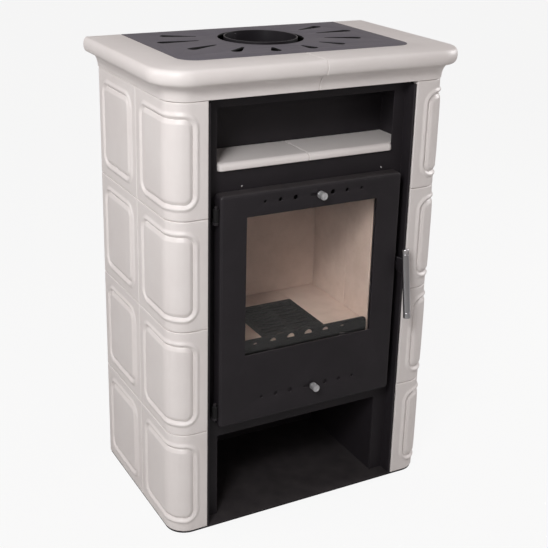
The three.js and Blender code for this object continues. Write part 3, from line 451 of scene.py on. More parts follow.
class EffectShelf:
    """The effects that the materials of this stove share, each built once."""

    def __init__(self) -> None:
        """Builds all the groups."""
        self.mottle = self._mottle()
        self.grain = self._grain()
        self.edge_mask = self._edge_mask()
        self.dust = self._dust()
        self.speckle = self._speckle()
        self.brushing = self._brushing()

    @staticmethod
    def _mottle() -> Effect:
        """Cloudy change between two colours."""
        inputs = {"Color A": WHITE, "Color B": (0, 0, 0, 1), "Scale": 8.0, "Spread": 0.5}
        made = Effect("mottle", "Color", inputs)
        centred = made.math("SUBTRACT", made.cloud("Scale", 5.0, 0.6), 0.5)
        wide = made.math("MULTIPLY", centred, made.math("MULTIPLY", made.given["Spread"], 4.0))
        share = made.math("ADD", wide, 0.5, clamp=True)
        return made.give(add_mix(made.tree, share, made.given["Color A"], made.given["Color B"]))

    @staticmethod
    def _grain() -> Effect:
        """Fine and coarse unevenness of a surface."""
        made = Effect("grain", "Height", {"Fine": 900.0, "Coarse": 60.0, "Balance": 0.5})
        feeds = {0: made.given["Balance"], 2: made.cloud("Fine", 3.0), 3: made.cloud("Coarse", 2.0)}
        return made.give(made.node("ShaderNodeMix", feeds).outputs[0])

    @staticmethod
    def _edge_mask() -> Effect:
        """Convex and concave edges, broken up by noise."""
        made = Effect("edge_mask", "Mask", {"Radius": 0.001, "Amount": 1.0, "Break-up": 160.0})
        softened = made.node("ShaderNodeBevel", {"Radius": made.given["Radius"]}, samples=4).outputs["Normal"]
        plain = made.node("ShaderNodeNewGeometry").outputs["Normal"]
        turn = made.node("ShaderNodeVectorMath", {0: softened, 1: plain}, operation="DOT_PRODUCT")
        bend = made.math("SUBTRACT", 1.0, turn.outputs["Value"])
        strong = made.math("MULTIPLY", bend, made.math("MULTIPLY", made.given["Amount"], 8.0))
        return made.give(made.math("MULTIPLY", strong, made.cloud("Break-up", 3.0), clamp=True))

    @staticmethod
    def _dust() -> Effect:
        """Light dust on what faces up."""
        made = Effect("dust", "Mask", {"Amount": 0.2, "Scale": 24.0})
        normal = made.node("ShaderNodeNewGeometry").outputs["Normal"]
        parts = made.node("ShaderNodeSeparateXYZ", {0: normal}).outputs
        upward = made.math("POWER", made.math("MAXIMUM", parts["Z"], 0.0), 3.0)
        patch = made.math("MULTIPLY", upward, made.cloud("Scale", 6.0))
        return made.give(made.math("MULTIPLY", patch, made.given["Amount"], clamp=True))

    @staticmethod
    def _speckle() -> Effect:
        """Small scattered spots."""
        made = Effect("speckle", "Mask", {"Scale": 220.0, "Size": 0.16})
        cells = made.node("ShaderNodeTexVoronoi", {"Vector": made.place, "Scale": made.given["Scale"]})
        rest = made.math("SUBTRACT", made.given["Size"], cells.outputs["Distance"])
        return made.give(made.math("MULTIPLY", rest, 14.0, clamp=True))

    @staticmethod
    def _brushing() -> Effect:
        """Fine scratches that run round a turned piece or along a drawn one."""
        inputs = {"Along X": 1.0, "Along Y": 1.0, "Along Z": 1.0, "Scale": 1.0}
        made = Effect("brushing", "Height", inputs)
        stretch = made.node("ShaderNodeCombineXYZ", {i: made.given[f"Along {a}"] for i, a in enumerate("XYZ")})
        feeds = {0: made.place, 1: stretch.outputs[0]}
        drawn = made.node("ShaderNodeVectorMath", feeds, operation="MULTIPLY")
        return made.give(made.cloud("Scale", 4.0, place=drawn.outputs[0]))


# ---- Finishes --------------------------------------------------------------------------------


class Paint:
    """A new material with a Principled shader, to which effects are wired."""

    def __init__(self, name: str, values: dict[str, float | Colour]) -> None:
        """Makes the material.

        Args:
            name: Name of the material.
            values: Uniform values of the shader's own sockets.
        """
        self.material = bpy.data.materials.new(name)
        self.material.use_nodes = True
        self.tree = self.material.node_tree
        self.tree.nodes.clear()
        self.shader = add_node(self.tree, "ShaderNodeBsdfPrincipled", values)
        add_node(self.tree, "ShaderNodeOutputMaterial", {"Surface": self.shader.outputs[0]})

    def effect(self, made: Effect, **values: object) -> Socket:
        """Places an effect.

        Args:
            made: The effect.
            **values: Values of its inputs, with _ for a space and __ for a hyphen.

        Returns:
            Its output.
        """
        node = self.tree.nodes.new("ShaderNodeGroup")
        node.node_tree = made.tree
        for key, value in values.items():
            node.inputs[key.replace("__", "-").replace("_", " ")].default_value = value
        return node.outputs[0]

    def blend(self, share: object, a: object, b: object) -> Socket:
        """Mixes two colours. See add_mix."""
        return add_mix(self.tree, share, a, b)

    def spread(self, value: Socket, low: float, high: float) -> Socket:
        """Maps a value from 0..1 to low..high. Returns the mapped value."""
        return add_node(self.tree, "ShaderNodeMapRange", {0: value, 3: low, 4: high}).outputs[0]

    def feed(self, title: str, socket: Socket) -> "Paint":
        """Connects a socket to the shader. Returns the paint."""
        self.tree.links.new(socket, self.shader.inputs[title])
        return self

    def bump(self, height: Socket, strength: float, distance: float) -> "Paint":
        """Raises the surface.

        Args:
            height: Height from 0 to 1.
            strength: Strength of the bump.
            distance: Real height of 1, in metres.

        Returns:
            The paint.
        """
        feeds = {"Height": height, "Strength": strength, "Distance": distance}
        return self.feed("Normal", add_node(self.tree, "ShaderNodeBump", feeds).outputs[0])


def tint(red: int, green: int, blue: int) -> Colour:
    """A colour as it shows on a screen, turned into the shader's linear values."""

    def linear(value: int) -> float:
        """One channel."""
        share = value / 255
        return share / 12.92 if share <= 0.04045 else ((share + 0.055) / 1.055) ** 2.4

    return linear(red), linear(green), linear(blue), 1.0


@dataclass(frozen=True)
class Finish:
    """A finish, which builds its own material."""

    def material(self, shelf: EffectShelf) -> Material:
        """Builds the material.

        Args:
            shelf: The shared effects.

        Returns:
            The material.
        """
        raise NotImplementedError


@dataclass(frozen=True)
class GlazeFinish(Finish):
    """Cream glaze over fired clay: satin, softly mottled, thinner on the ridges."""

    cream: Colour = tint(230, 225, 223)
    shade: Colour = tint(220, 213, 211)
    thin: Colour = tint(234, 229, 227)
    roughness: Flat = (0.4, 0.52)

    def material(self, shelf: EffectShelf) -> Material:
        """Builds the material. See Finish."""
        paint = Paint("cream_glaze", {"Coat Weight": 0.12, "Coat Roughness": 0.3, "IOR": 1.5})
        cloud = paint.effect(shelf.mottle, Color_A=self.cream, Color_B=self.shade, Scale=9.0, Spread=0.35)
        ridge = paint.effect(shelf.edge_mask, Radius=0.003, Amount=0.8, Break__up=40.0)
        spots = paint.effect(shelf.speckle, Scale=180.0, Size=0.1)
        lit = paint.blend(ridge, cloud, self.thin)
        paint.feed("Base Color", paint.blend(paint.spread(spots, 0.0, 0.18), lit, self.shade))
        wave = paint.effect(shelf.grain, Fine=420.0, Coarse=55.0, Balance=0.75)
        paint.feed("Roughness", paint.spread(wave, *self.roughness))
        return paint.bump(wave, 0.32, 0.0009).material


@dataclass(frozen=True)
class SteelPaintFinish(Finish):
    """Heat-resistant matt paint on steel sheet, with a fine grain and lighter edges, partly worn paint and partly a
    painted edge highlight.
    """

    name: str
    dark: Colour
    light: Colour
    # Tone of the lightened edges: worn paint and a painted highlight along the edges.
    rubbed: Colour
    roughness: Flat = (0.46, 0.6)
    grain_depth: float = 0.0004
    dust: float = 0.12
    rub_amount: float = 0.7
    dust_tone: Colour = tint(150, 143, 138)

    def material(self, shelf: EffectShelf) -> Material:
        """Builds the material. See Finish."""
        paint = Paint(self.name, {"Specular IOR Level": 0.34})
        cloud = paint.effect(shelf.mottle, Color_A=self.dark, Color_B=self.light, Scale=14.0, Spread=0.4)
        # Painted edge highlight: edges lighten towards the edge tone, partly as worn paint, partly as the light line
        # that edges catch.
        edge_wear_and_highlight_mask = paint.effect(shelf.edge_mask, Radius=0.0009, Amount=self.rub_amount, Break__up=210.0)
        dust = paint.effect(shelf.dust, Amount=self.dust, Scale=30.0)
        paint.feed("Base Color", paint.blend(dust, paint.blend(edge_wear_and_highlight_mask, cloud, self.rubbed), self.dust_tone))
        grain = paint.effect(shelf.grain, Fine=1500.0, Coarse=320.0, Balance=0.4)
        paint.feed("Roughness", paint.spread(grain, *self.roughness))
        return paint.bump(grain, 0.35, self.grain_depth).material


@dataclass(frozen=True)
class StainlessFinish(Finish):
    """Stainless steel with the marks of its turning or drawing."""

    name: str
    across: Point
    roughness: Flat
    mark_depth: float
    metallic: float = 1.0
    bright: Colour = tint(232, 232, 234)
    dull: Colour = tint(212, 211, 214)

    def material(self, shelf: EffectShelf) -> Material:
        """Builds the material. See Finish."""
        paint = Paint(self.name, {"Metallic": self.metallic})
        x, y, z = self.across
        streaks = paint.effect(shelf.brushing, Along_X=x, Along_Y=y, Along_Z=z, Scale=1.0)
        paint.feed("Base Color", paint.blend(streaks, self.bright, self.dull))
        paint.feed("Roughness", paint.spread(streaks, *self.roughness))
        return paint.bump(streaks, 1.0, self.mark_depth).material


@dataclass(frozen=True)
class FireclayFinish(Finish):
    """Cast fireclay, buff with darker grit and paler edges."""

    buff: Colour = tint(208, 187, 175)
    warm: Colour = tint(196, 174, 161)
    grit: Colour = tint(150, 127, 113)

    def material(self, shelf: EffectShelf) -> Material:
        """Builds the material. See Finish."""
        paint = Paint("fireclay", {"Specular IOR Level": 0.25})
        cloud = paint.effect(shelf.mottle, Color_A=self.buff, Color_B=self.warm, Scale=26.0, Spread=0.7)
        grit = paint.effect(shelf.speckle, Scale=340.0, Size=0.2)
        edges = paint.effect(shelf.edge_mask, Radius=0.0025, Amount=0.8, Break__up=120.0)
        gritty = paint.blend(paint.spread(grit, 0, 0.6), cloud, self.grit)
        paint.feed("Base Color", paint.blend(edges, gritty, self.buff))
        grain = paint.effect(shelf.grain, Fine=700.0, Coarse=190.0, Balance=0.45)
        paint.feed("Roughness", paint.spread(grain, 0.85, 0.98))
        return paint.bump(grain, 0.6, 0.0012).material


@dataclass(frozen=True)
class CastIronFinish(Finish):
    """Grey cast iron with the skin of its mould."""

    dark: Colour = tint(15, 14, 15)
    light: Colour = tint(24, 22, 23)
    rubbed: Colour = tint(48, 46, 45)

    def material(self, shelf: EffectShelf) -> Material:
        """Builds the material. See Finish."""
        paint = Paint("cast_iron", {"Specular IOR Level": 0.25})
        cloud = paint.effect(shelf.mottle, Color_A=self.dark, Color_B=self.light, Scale=40.0, Spread=0.8)
        edge_wear_and_highlight_mask = paint.effect(shelf.edge_mask, Radius=0.0012, Amount=1.0, Break__up=260.0)
        paint.feed("Base Color", paint.blend(edge_wear_and_highlight_mask, cloud, self.rubbed))
        skin = paint.effect(shelf.grain, Fine=620.0, Coarse=240.0, Balance=0.5)
        paint.feed("Roughness", paint.spread(skin, 0.55, 0.8))
        return paint.bump(skin, 0.6, 0.0009).material


@dataclass(frozen=True)
class FireGlassFinish(Finish):
    """Clear ceramic glass. Lamps shine through it, so the firebox behind it stays lit."""

    tone: Colour = (0.94, 0.93, 0.91, 1.0)

    def material(self, shelf: EffectShelf) -> Material:
        """Builds the material. See Finish."""
        values = {"Transmission Weight": 1.0, "Metallic": 0.0, "IOR": 1.3, "Base Color": self.tone}
        paint = Paint("fire_glass", values)
        smear = paint.effect(shelf.grain, Fine=90.0, Coarse=14.0, Balance=0.6)
        paint.feed("Roughness", paint.spread(smear, 0.0, 0.03))
        ray = add_node(paint.tree, "ShaderNodeLightPath").outputs["Is Shadow Ray"]
        return paint.feed("Alpha", add_math(paint.tree, "SUBTRACT", 1.0, ray, clamp=True)).material


@dataclass(frozen=True)
class RopeFinish(Finish):
    """Woven glass fibre rope of the door seal."""

    pale: Colour = tint(134, 129, 121)
    dark: Colour = tint(84, 80, 75)

    def material(self, shelf: EffectShelf) -> Material:
        """Builds the material. See Finish."""
        paint = Paint("seal_rope", {"Roughness": 0.95, "Sheen Weight": 0.3})
        strands = paint.effect(shelf.speckle, Scale=620.0, Size=0.55)
        paint.feed("Base Color", paint.blend(strands, self.dark, self.pale))
        return paint.bump(strands, 0.8, 0.0012).material


def seen_directly(tree: bpy.types.NodeTree) -> Socket:
    """A mask of the rays that the camera sends, also through glass.

    Args:
        tree: The tree in which the mask is made.

    Returns:
        1 for such a ray that no matt surface has scattered yet, else 0.
    """
    path = add_node(tree, "ShaderNodeLightPath").outputs
    ways = add_math(tree, "ADD", path["Is Camera Ray"], path["Is Transmission Ray"], clamp=True)
    return add_math(tree, "MULTIPLY", ways, add_math(tree, "LESS_THAN", path["Diffuse Depth"], 0.5))


@dataclass(frozen=True)
class FloorFinish:
    """Plain pale floor, which shows nearly white to the camera and keeps the stove's shadow."""

    tone: Colour = (0.56, 0.55, 0.54, 1.0)
    mirrored: Colour = (0.3, 0.3, 0.3, 1.0)
    glow: float = 0.9

    def material(self) -> Material:
        """Builds the material. Returns it."""
        made = bpy.data.materials.new("studio_floor")
        made.use_nodes = True
        tree = made.node_tree
        tree.nodes.clear()
        mirror = add_node(tree, "ShaderNodeLightPath").outputs["Is Glossy Ray"]
        tone = add_mix(tree, mirror, self.tone, self.mirrored)
        matt = add_node(tree, "ShaderNodeBsdfDiffuse", {"Color": tone}).outputs[0]
        light = add_node(tree, "ShaderNodeEmission", {"Color": WHITE, "Strength": 1.0}).outputs[0]
        share = add_math(tree, "MULTIPLY", seen_directly(tree), self.glow)
        mixed = add_node(tree, "ShaderNodeMixShader", {0: share, 1: matt, 2: light})
        add_node(tree, "ShaderNodeOutputMaterial", {"Surface": mixed.outputs[0]})
        return made


class Wardrobe:
    """All finishes of the stove, and the way pieces get them."""

    def __init__(self) -> None:
        """Builds every material once."""
        shelf = EffectShelf()
        paint, steel = SteelPaintFinish, StainlessFinish
        finishes: dict[Slot | Look, Finish] = {
            Slot.GLAZE: GlazeFinish(),
            # The third tone of each steel paint lightens its edges: worn paint and a painted edge highlight, such as
            # the light line along the tile rails.
            Slot.BLACK_STEEL: paint("black_paint", tint(33, 30, 33), tint(41, 37, 41), tint(80, 76, 80)),
            Slot.GREY_STEEL: paint(
                "grey_paint", tint(84, 81, 91), tint(95, 92, 102), tint(110, 107, 116), (0.42, 0.55), 0.0005, 0.1, 0.25
            ),
            Slot.STAINLESS: steel("satin_tube", (50.0, 50.0, 2600.0), (0.2, 0.3), 0.00001),
            Slot.FIREBRICK: FireclayFinish(),
            Slot.CAST_IRON: CastIronFinish(),
            Slot.FIRE_GLASS: FireGlassFinish(),
            Slot.ROPE: RopeFinish(),
            # Painted shade: a near-black steel for the walls of the top plate's slots and for the hinge barrels, which
            # sit in shade.
            Look.PAINTED_SHADE: paint(
                "blackened_steel", tint(11, 10, 11), tint(16, 15, 16), tint(26, 24, 26), (0.6, 0.75), 0.0003, 0.02
            ),
            # Satin paint of the flue collar; its pale edge tone paints a highlight on the collar's rims.
            Look.SMOOTHED: paint(
                "smoothed_paint", tint(32, 30, 33), tint(40, 37, 41), tint(120, 118, 122), (0.28, 0.36), 0.0001, 0.0
            ),
            # The lever's paint: its strong pale edge tone paints a highlight along the lever's edges.
            Look.EDGE_HIGHLIT: paint(
                "handled_paint", tint(32, 29, 32), tint(40, 36, 40), tint(168, 166, 170), (0.4, 0.5), 0.0002, 0.0, 2.0
            ),
            Look.TURNED: steel("turned_steel", (60.0, 2400.0, 60.0), (0.3, 0.42), 0.00012, 0.8),
        }
        self.materials = {key: finish.material(shelf) for key, finish in finishes.items()}

    def dress(
        self, piece: Piece, slot: Slot, *nodes: str, body: Body = Body.STOVE, look: Look | None = None
    ) -> Piece:
        """Finishes a new piece.

        Args:
            piece: The piece.
            slot: Its material slot.
            *nodes: CAD nodes that it stands for.
            body: The body that it rides on.
            look: A finish of its own, or None for the slot's.

        Returns:
            The piece.
        """
        piece.data.materials.clear()
        piece.data.materials.append(self.materials[look or slot])
        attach(piece, body.value)
        if nodes:
            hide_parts(*nodes)
        LOG.info("%s: %d faces, rides on %s", piece.name, len(piece.data.polygons), body.value)
        return piece

    def keep(self, node: str, slot: Slot, edge: float) -> None:
        """Keeps a CAD node and gives it eased edges and a finish.

        Args:
            node: Name of the node.
            slot: Its material slot.
            edge: Width of the eased edges in millimetres.
        """
        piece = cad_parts[node]
        if not piece.material_slots:
            piece.data.materials.append(None)
        for place in piece.material_slots:
            place.material = self.materials[slot]
        ease = piece.modifiers.new("eased_edges", "BEVEL")
        ease.width = edge * MM
        ease.segments = 2
        ease.limit_method = "ANGLE"
        ease.angle_limit = math.radians(40)
        ease.use_clamp_overlap = True
        LOG.info("%s: kept, %s", node, slot.value)


@dataclass
class Maker:
    """Builds one sub-assembly and dresses it."""

    wardrobe: Wardrobe

    def build(self) -> None:
        """Builds and dresses all the pieces of the sub-assembly."""
        raise NotImplementedError


# ---- Jacket of tiles and cornice -------------------------------------------------------------


@dataclass
class JacketPlan:
    """Plan of the tiled jacket, unrolled from a back edge, round the front corner, to the front."""

    half_width: float = 299.5
    front: float = -182.5
    back: float = 182.5
    corner_radius: float = 42.0

    @property
    def side_run(self) -> float:
        """Length of the straight side."""
        return self.back - self.front - self.corner_radius

    @property
    def corner_run(self) -> float:
        """Length of the bend."""
        return self.corner_radius * math.pi / 2

    def point(self, side: Side, run: float, out: float, z: float) -> Point:
        """A point on or off the jacket.

        Args:
            side: Side of the stove.
            run: Distance along the face from the back edge.
            out: Distance out from the face.
            z: Height.

        Returns:
            The point.
        """
        radius = self.corner_radius
        if run <= self.side_run:
            return side.value * (self.half_width + out), self.back - run, z
        if run >= self.side_run + self.corner_run:
            x = self.half_width - radius - (run - self.side_run - self.corner_run)
            return side.value * x, self.front - out, z
        angle = (run - self.side_run) / radius
        x = self.half_width - radius + (radius + out) * math.cos(angle)
        return side.value * x, self.front + radius - (radius + out) * math.sin(angle), z


@dataclass
class TileRelief:
    """Relief of a tile: a raised ridge round a groove and a softly cushioned field."""

    margin: float = 24.0
    corner: float = 25.0
    ridge_outside: float = 15.0
    ridge_inside: float = 9.0
    ridge_height: float = 3.0
    groove_offset: float = 6.4
    groove_half: float = 2.6
    groove_depth: float = 1.9
    shoulder_start: float = 8.6
    shoulder_width: float = 6.5
    field_height: float = 2.5
    crown: float = 0.9
    crown_run: float = 28.0

    def height(self, along: float, z: float, length: float, tall: float) -> float:
        """Height of the face.

        Args:
            along: Distance from the tile's edge along the jacket.
            z: Distance from its foot.
            length: Length of the tile.
            tall: Height of the tile.

        Returns:
            The height over the plain face.
        """
        inset = self.margin + self.corner
        px = abs(along - length / 2) - (length / 2 - inset)
        pz = abs(z - tall / 2) - (tall / 2 - inset)
        away = math.hypot(max(px, 0.0), max(pz, 0.0)) + min(max(px, pz), 0.0) - self.corner
        width = self.ridge_outside if away > 0 else self.ridge_inside
        ridge = math.cos(math.pi * min(abs(away) / width, 0.5)) ** 2 * self.ridge_height
        off = min(abs(away + self.groove_offset) / self.groove_half, 1.0)
        groove = -self.groove_depth * math.cos(math.pi / 2 * off) ** 2
        inside = -away - self.shoulder_start
        share = min(max(inside / self.shoulder_width, 0.0), 1.0)
        rise = self.field_height * share * share * (3 - 2 * share)
        crown = self.crown * (1 - math.exp(-max(inside - self.shoulder_width, 0.0) / self.crown_run))
        return ridge + groove + rise + crown


@dataclass
class TileMaker(Maker):
    """Builds the glazed tiles that stand for the frame's side and corner tiles."""

    plan: JacketPlan = field(default_factory=JacketPlan)
    relief: TileRelief = field(default_factory=TileRelief)
    thickness: float = 12.0
    edge: float = 1.9
    edge_lines: tuple[float, ...] = (0.0, 0.3, 0.65, 1.2, 1.9, 6.0, 11.0)
    relief_lines: tuple[float, float, int] = (15.0, 1.75, 21)
    field_step: float = 12.0
    least_gap: float = 0.3
    bend_steps: int = 14
    bend_clear: float = 3.0
    tile_inner: float = 225.3
    side_width: float = 198.5
    joint: float = 1.0
    rows: int = 4

    def _lines(self, length: float, extra: Sequence[float] = ()) -> list[float]:
        """Grid lines along one direction, close together where the relief bends.

        Args:
            length: Length of the tile in this direction.
            extra: More lines, such as those of a bend.

        Returns:
            The lines in order.
        """
        first, step, count = self.relief_lines
        half = [*self.edge_lines, *(first + step * i for i in range(count))]
        last = half[-1]
        half += [last + self.field_step * i for i in range(1, int((length / 2 - last) / self.field_step) + 1)]
        kept = [0.0]
        for value in sorted({*half, *(length - v for v in half), *extra})[1:]:
            if value - kept[-1] >= self.least_gap:
                kept.append(value)
        kept[-1] = length
        return kept

    def tile(self, name: str, side: Side, span: Flat, foot: float, tall: float) -> Piece:
        """Builds one tile.

        Args:
            name: Name of the object.
            side: Side of the stove.
            span: Where it starts and ends along the jacket.
            foot: Height of its lower edge.
            tall: Its own height.

        Returns:
            The tile.
        """
        start, end = span
        length = end - start
        low, run = self.plan.side_run, self.plan.corner_run
        bend = [low + run * i / self.bend_steps - start for i in range(self.bend_steps + 1)]
        across = self._lines(length, [v for v in bend if self.bend_clear < v < length - self.bend_clear])
        rows = self._lines(tall)
        points: list[Point] = []
        for along in across:
            for z in rows:
                near = min(along, length - along), min(z, tall - z)
                out = self.relief.height(along, z, length, tall) - max(edge_fall(n, self.edge) for n in near)
                points.append(self.plan.point(side, start + along, out, foot + z))
        count, rear = len(rows), len(points)
        for along in across:
            points += [self.plan.point(side, start + along, -self.thickness, foot + z) for z in (0.0, tall)]
        faces: list[Face] = []
        for u in range(len(across) - 1):
            a, b = u * count, (u + 1) * count
            ra, rb = rear + 2 * u, rear + 2 * (u + 1)
            faces += [(a + v, b + v, b + v + 1, a + v + 1) for v in range(count - 1)]
            faces += [(a, ra, rb, b), (a + count - 1, b + count - 1, rb + 1, ra + 1), (ra, ra + 1, rb + 1, rb)]
        faces += [(*range(count), rear + 1, rear), (*range(rear - count, rear), len(points) - 1, len(points) - 2)]
        return make_object(name, points, faces, 50.0)

    def build(self) -> None:
        """Builds and dresses all the tiles."""
        wrap = self.plan.side_run + self.plan.corner_run
        wrap += self.plan.half_width - self.plan.corner_radius - self.tile_inner
        spans = {"side": (0.0, self.side_width), "corner": (self.side_width + self.joint, wrap)}
        for side in Side:
            for kind, span in spans.items():
                for row in range(1, self.rows + 1):
                    node = f"{kind}_tile_{side.word}_{row}"
                    low, high = node_box(node)
                    tile = self.tile(f"{node}_glazed", side, span, low.z, high.z - low.z)
                    self.wardrobe.dress(tile, Slot.GLAZE, node)


@dataclass
class CorniceMaker(Maker):
    """Builds the two halves of the ceramic cornice."""

    plan: JacketPlan = field(default_factory=JacketPlan)
    foot: float = 888.3
    top: float = 949.3
    foot_ease: Flat = (0.8, 0.7)
    cove_foot: float = 1.5
    cove_run: float = 19.0
    cove_rise: float = 31.0
    nose_run: float = 9.8
    nose_height: float = 30.0
    nose_fullness: float = 0.8
    nose_steps: int = 20
    wall: float = 14.0
    slab: float = 20.0
    plate_half: float = 249.8
    plate_front: float = -128.3
    plate_corner: float = 37.3
    seat: float = 4.3
    seat_width: float = 11.3
    seam: float = 0.5
    end_ease: float = 1.2
    side_shares: tuple[float, ...] = (0.0, 0.004, 0.01, 0.3, 0.6, 0.9)
    corner_steps: int = 18
    front_shares: tuple[float, ...] = (2.05, 2.3, 2.6, 2.9, 2.99, 2.996, 3.0)

    def _outer(self) -> list[Flat]:
        """Cove and bullnose as pairs of out and rise, from the foot up."""
        made = [(self.cove_foot - self.foot_ease[0], 0.0), (self.cove_foot, self.foot_ease[1])]
        for angle in quarter(14)[1:]:
            out = self.cove_foot + self.cove_run * (1 - math.cos(angle))
            made.append((out, self.cove_rise * math.sin(angle)))
        for i in range(1, self.nose_steps):
            angle = math.pi * (i / self.nose_steps - 0.5)
            out = self.cove_foot + self.cove_run + self.nose_run * math.cos(angle) ** self.nose_fullness
            made.append((out, self.cove_rise + self.nose_height / 2 * (1 + math.sin(angle))))
        return made

    def _plate_point(self, side: Side, share: float, grow: float, z: float) -> Point:
        """A point of the top plate's outline.

        Args:
            side: Side of the stove.
            share: 0 at the back, 1 to 2 round the corner, 3 at the seam.
            grow: Distance out from the outline.
            z: Height.

        Returns:
            The point.
        """
        radius = self.plate_corner + grow
        x, y = self.plate_half + grow, self.plate_front - grow
        if share <= 1:
            return side.value * x, self.plan.back + (y + radius - self.plan.back) * share, z
        if share >= 2:
            return side.value * ((x - radius) * (3 - share) + self.seam * (share - 2)), y, z
        angle = (share - 1) * math.pi / 2
        x += radius * (math.cos(angle) - 1)
        return side.value * x, y + radius - radius * math.sin(angle), z

    def half(self, side: Side) -> Piece:
        """Builds one half.

        Args:
            side: Side of the stove.

        Returns:
            The half.
        """
        plan, top, seat, slab = self.plan, self.top, self.top - self.seat, self.top - self.slab
        straight = plan.half_width - plan.corner_radius - self.seam
        corner = [1 + i / self.corner_steps for i in range(self.corner_steps + 1)]
        rings: list[list[Point]] = []
        for share in (*self.side_shares, *corner, *self.front_shares):
            fall = edge_fall(min(share * plan.side_run, (3 - share) * straight), self.end_ease)
            run = min(share, 1) * plan.side_run + min(max(share - 1, 0), 1) * plan.corner_run
            run += max(share - 2, 0) * straight
            ring = [plan.point(side, run, out - fall, self.foot + rise) for out, rise in self._outer()]
            ring = [(x, y, min(z, top - fall)) for x, y, z in ring]
            seat_lines = (
                (1.0, top - fall), (0.25, top - fall - 0.25), (0.0, top - fall - 1.0),
                (0.0, seat), (-self.seat_width, seat), (-self.seat_width, slab),
            )
            ring += [self._plate_point(side, share, grow, z) for grow, z in seat_lines]
            ring += [plan.point(side, run, -self.wall, z) for z in (slab, self.foot)]
            rings.append(ring)
        return loft(f"cornice_{side.word}_glazed", rings, 42.0)

    def build(self) -> None:
        """Builds and dresses both halves."""
        for side in Side:
            self.wardrobe.dress(self.half(side), Slot.GLAZE, f"cornice_{side.word}")


@dataclass
class ShelfMaker(Maker):
    """Builds the two tiles of the niche's shelf, which pass through the steel face at the front."""

    corner: float = 9.0
    nose: float = 9.5
    lower: float = 2.4
    ease: float = 1.4
    narrow: float = 193.0
    shoulder: float = -146.0
    shoulder_ease: float = 1.2

    def _profile(self, front: float, rear: float, foot: float, top: float, rounding: float) -> list[Flat]:
        """Side view of the tile at one station.

        Args:
            front: Depth of its front edge.
            rear: Depth of its back edge.
            foot: Height of its underside.
            top: Height of its face.
            rounding: Radius of its upper front edge.

        Returns:
            The outline as pairs of depth and height.
        """
        upper = arc(front + rounding, top - rounding, rounding, 90, 180, 10)
        lower = arc(front + self.lower, foot + self.lower, self.lower, 180, 270, 5)
        return [(rear, foot), (rear, top), *upper, *lower]

    def build(self) -> None:
        """Builds and dresses both tiles."""
        for side in Side:
            node = f"shelf_tile_{side.word}"
            low, high = node_box(node)
            inner, wide = sorted((abs(low.x), abs(high.x)))
            stations: list[tuple[float, float, float, float]] = []
            for along in (self.ease * i / 6 for i in range(7)):
                fall = edge_fall(along, self.ease)
                stations.append((inner + along, low.y + fall, fall, self.nose))
            stations.append((self.narrow / 2, low.y, 0.0, self.nose))
            for angle in quarter(9):
                x = self.narrow - self.corner * (1 - math.sin(angle))
                stations.append((x, low.y + self.corner * (1 - math.cos(angle)), 0.0, self.nose))
            stations += [(x, self.shoulder, 0.0, self.shoulder_ease) for x in (self.narrow, wide)]
            rings = []
            for x, front, fall, rounding in stations:
                outline = self._profile(front, high.y - fall, low.z + fall, high.z - fall, rounding)
                rings.append([(side.value * x, y, z) for y, z in outline])
            self.wardrobe.dress(loft(f"{node}_glazed", rings, 50.0), Slot.GLAZE, node)


# ---- Top plate and flue ----------------------------------------------------------------------


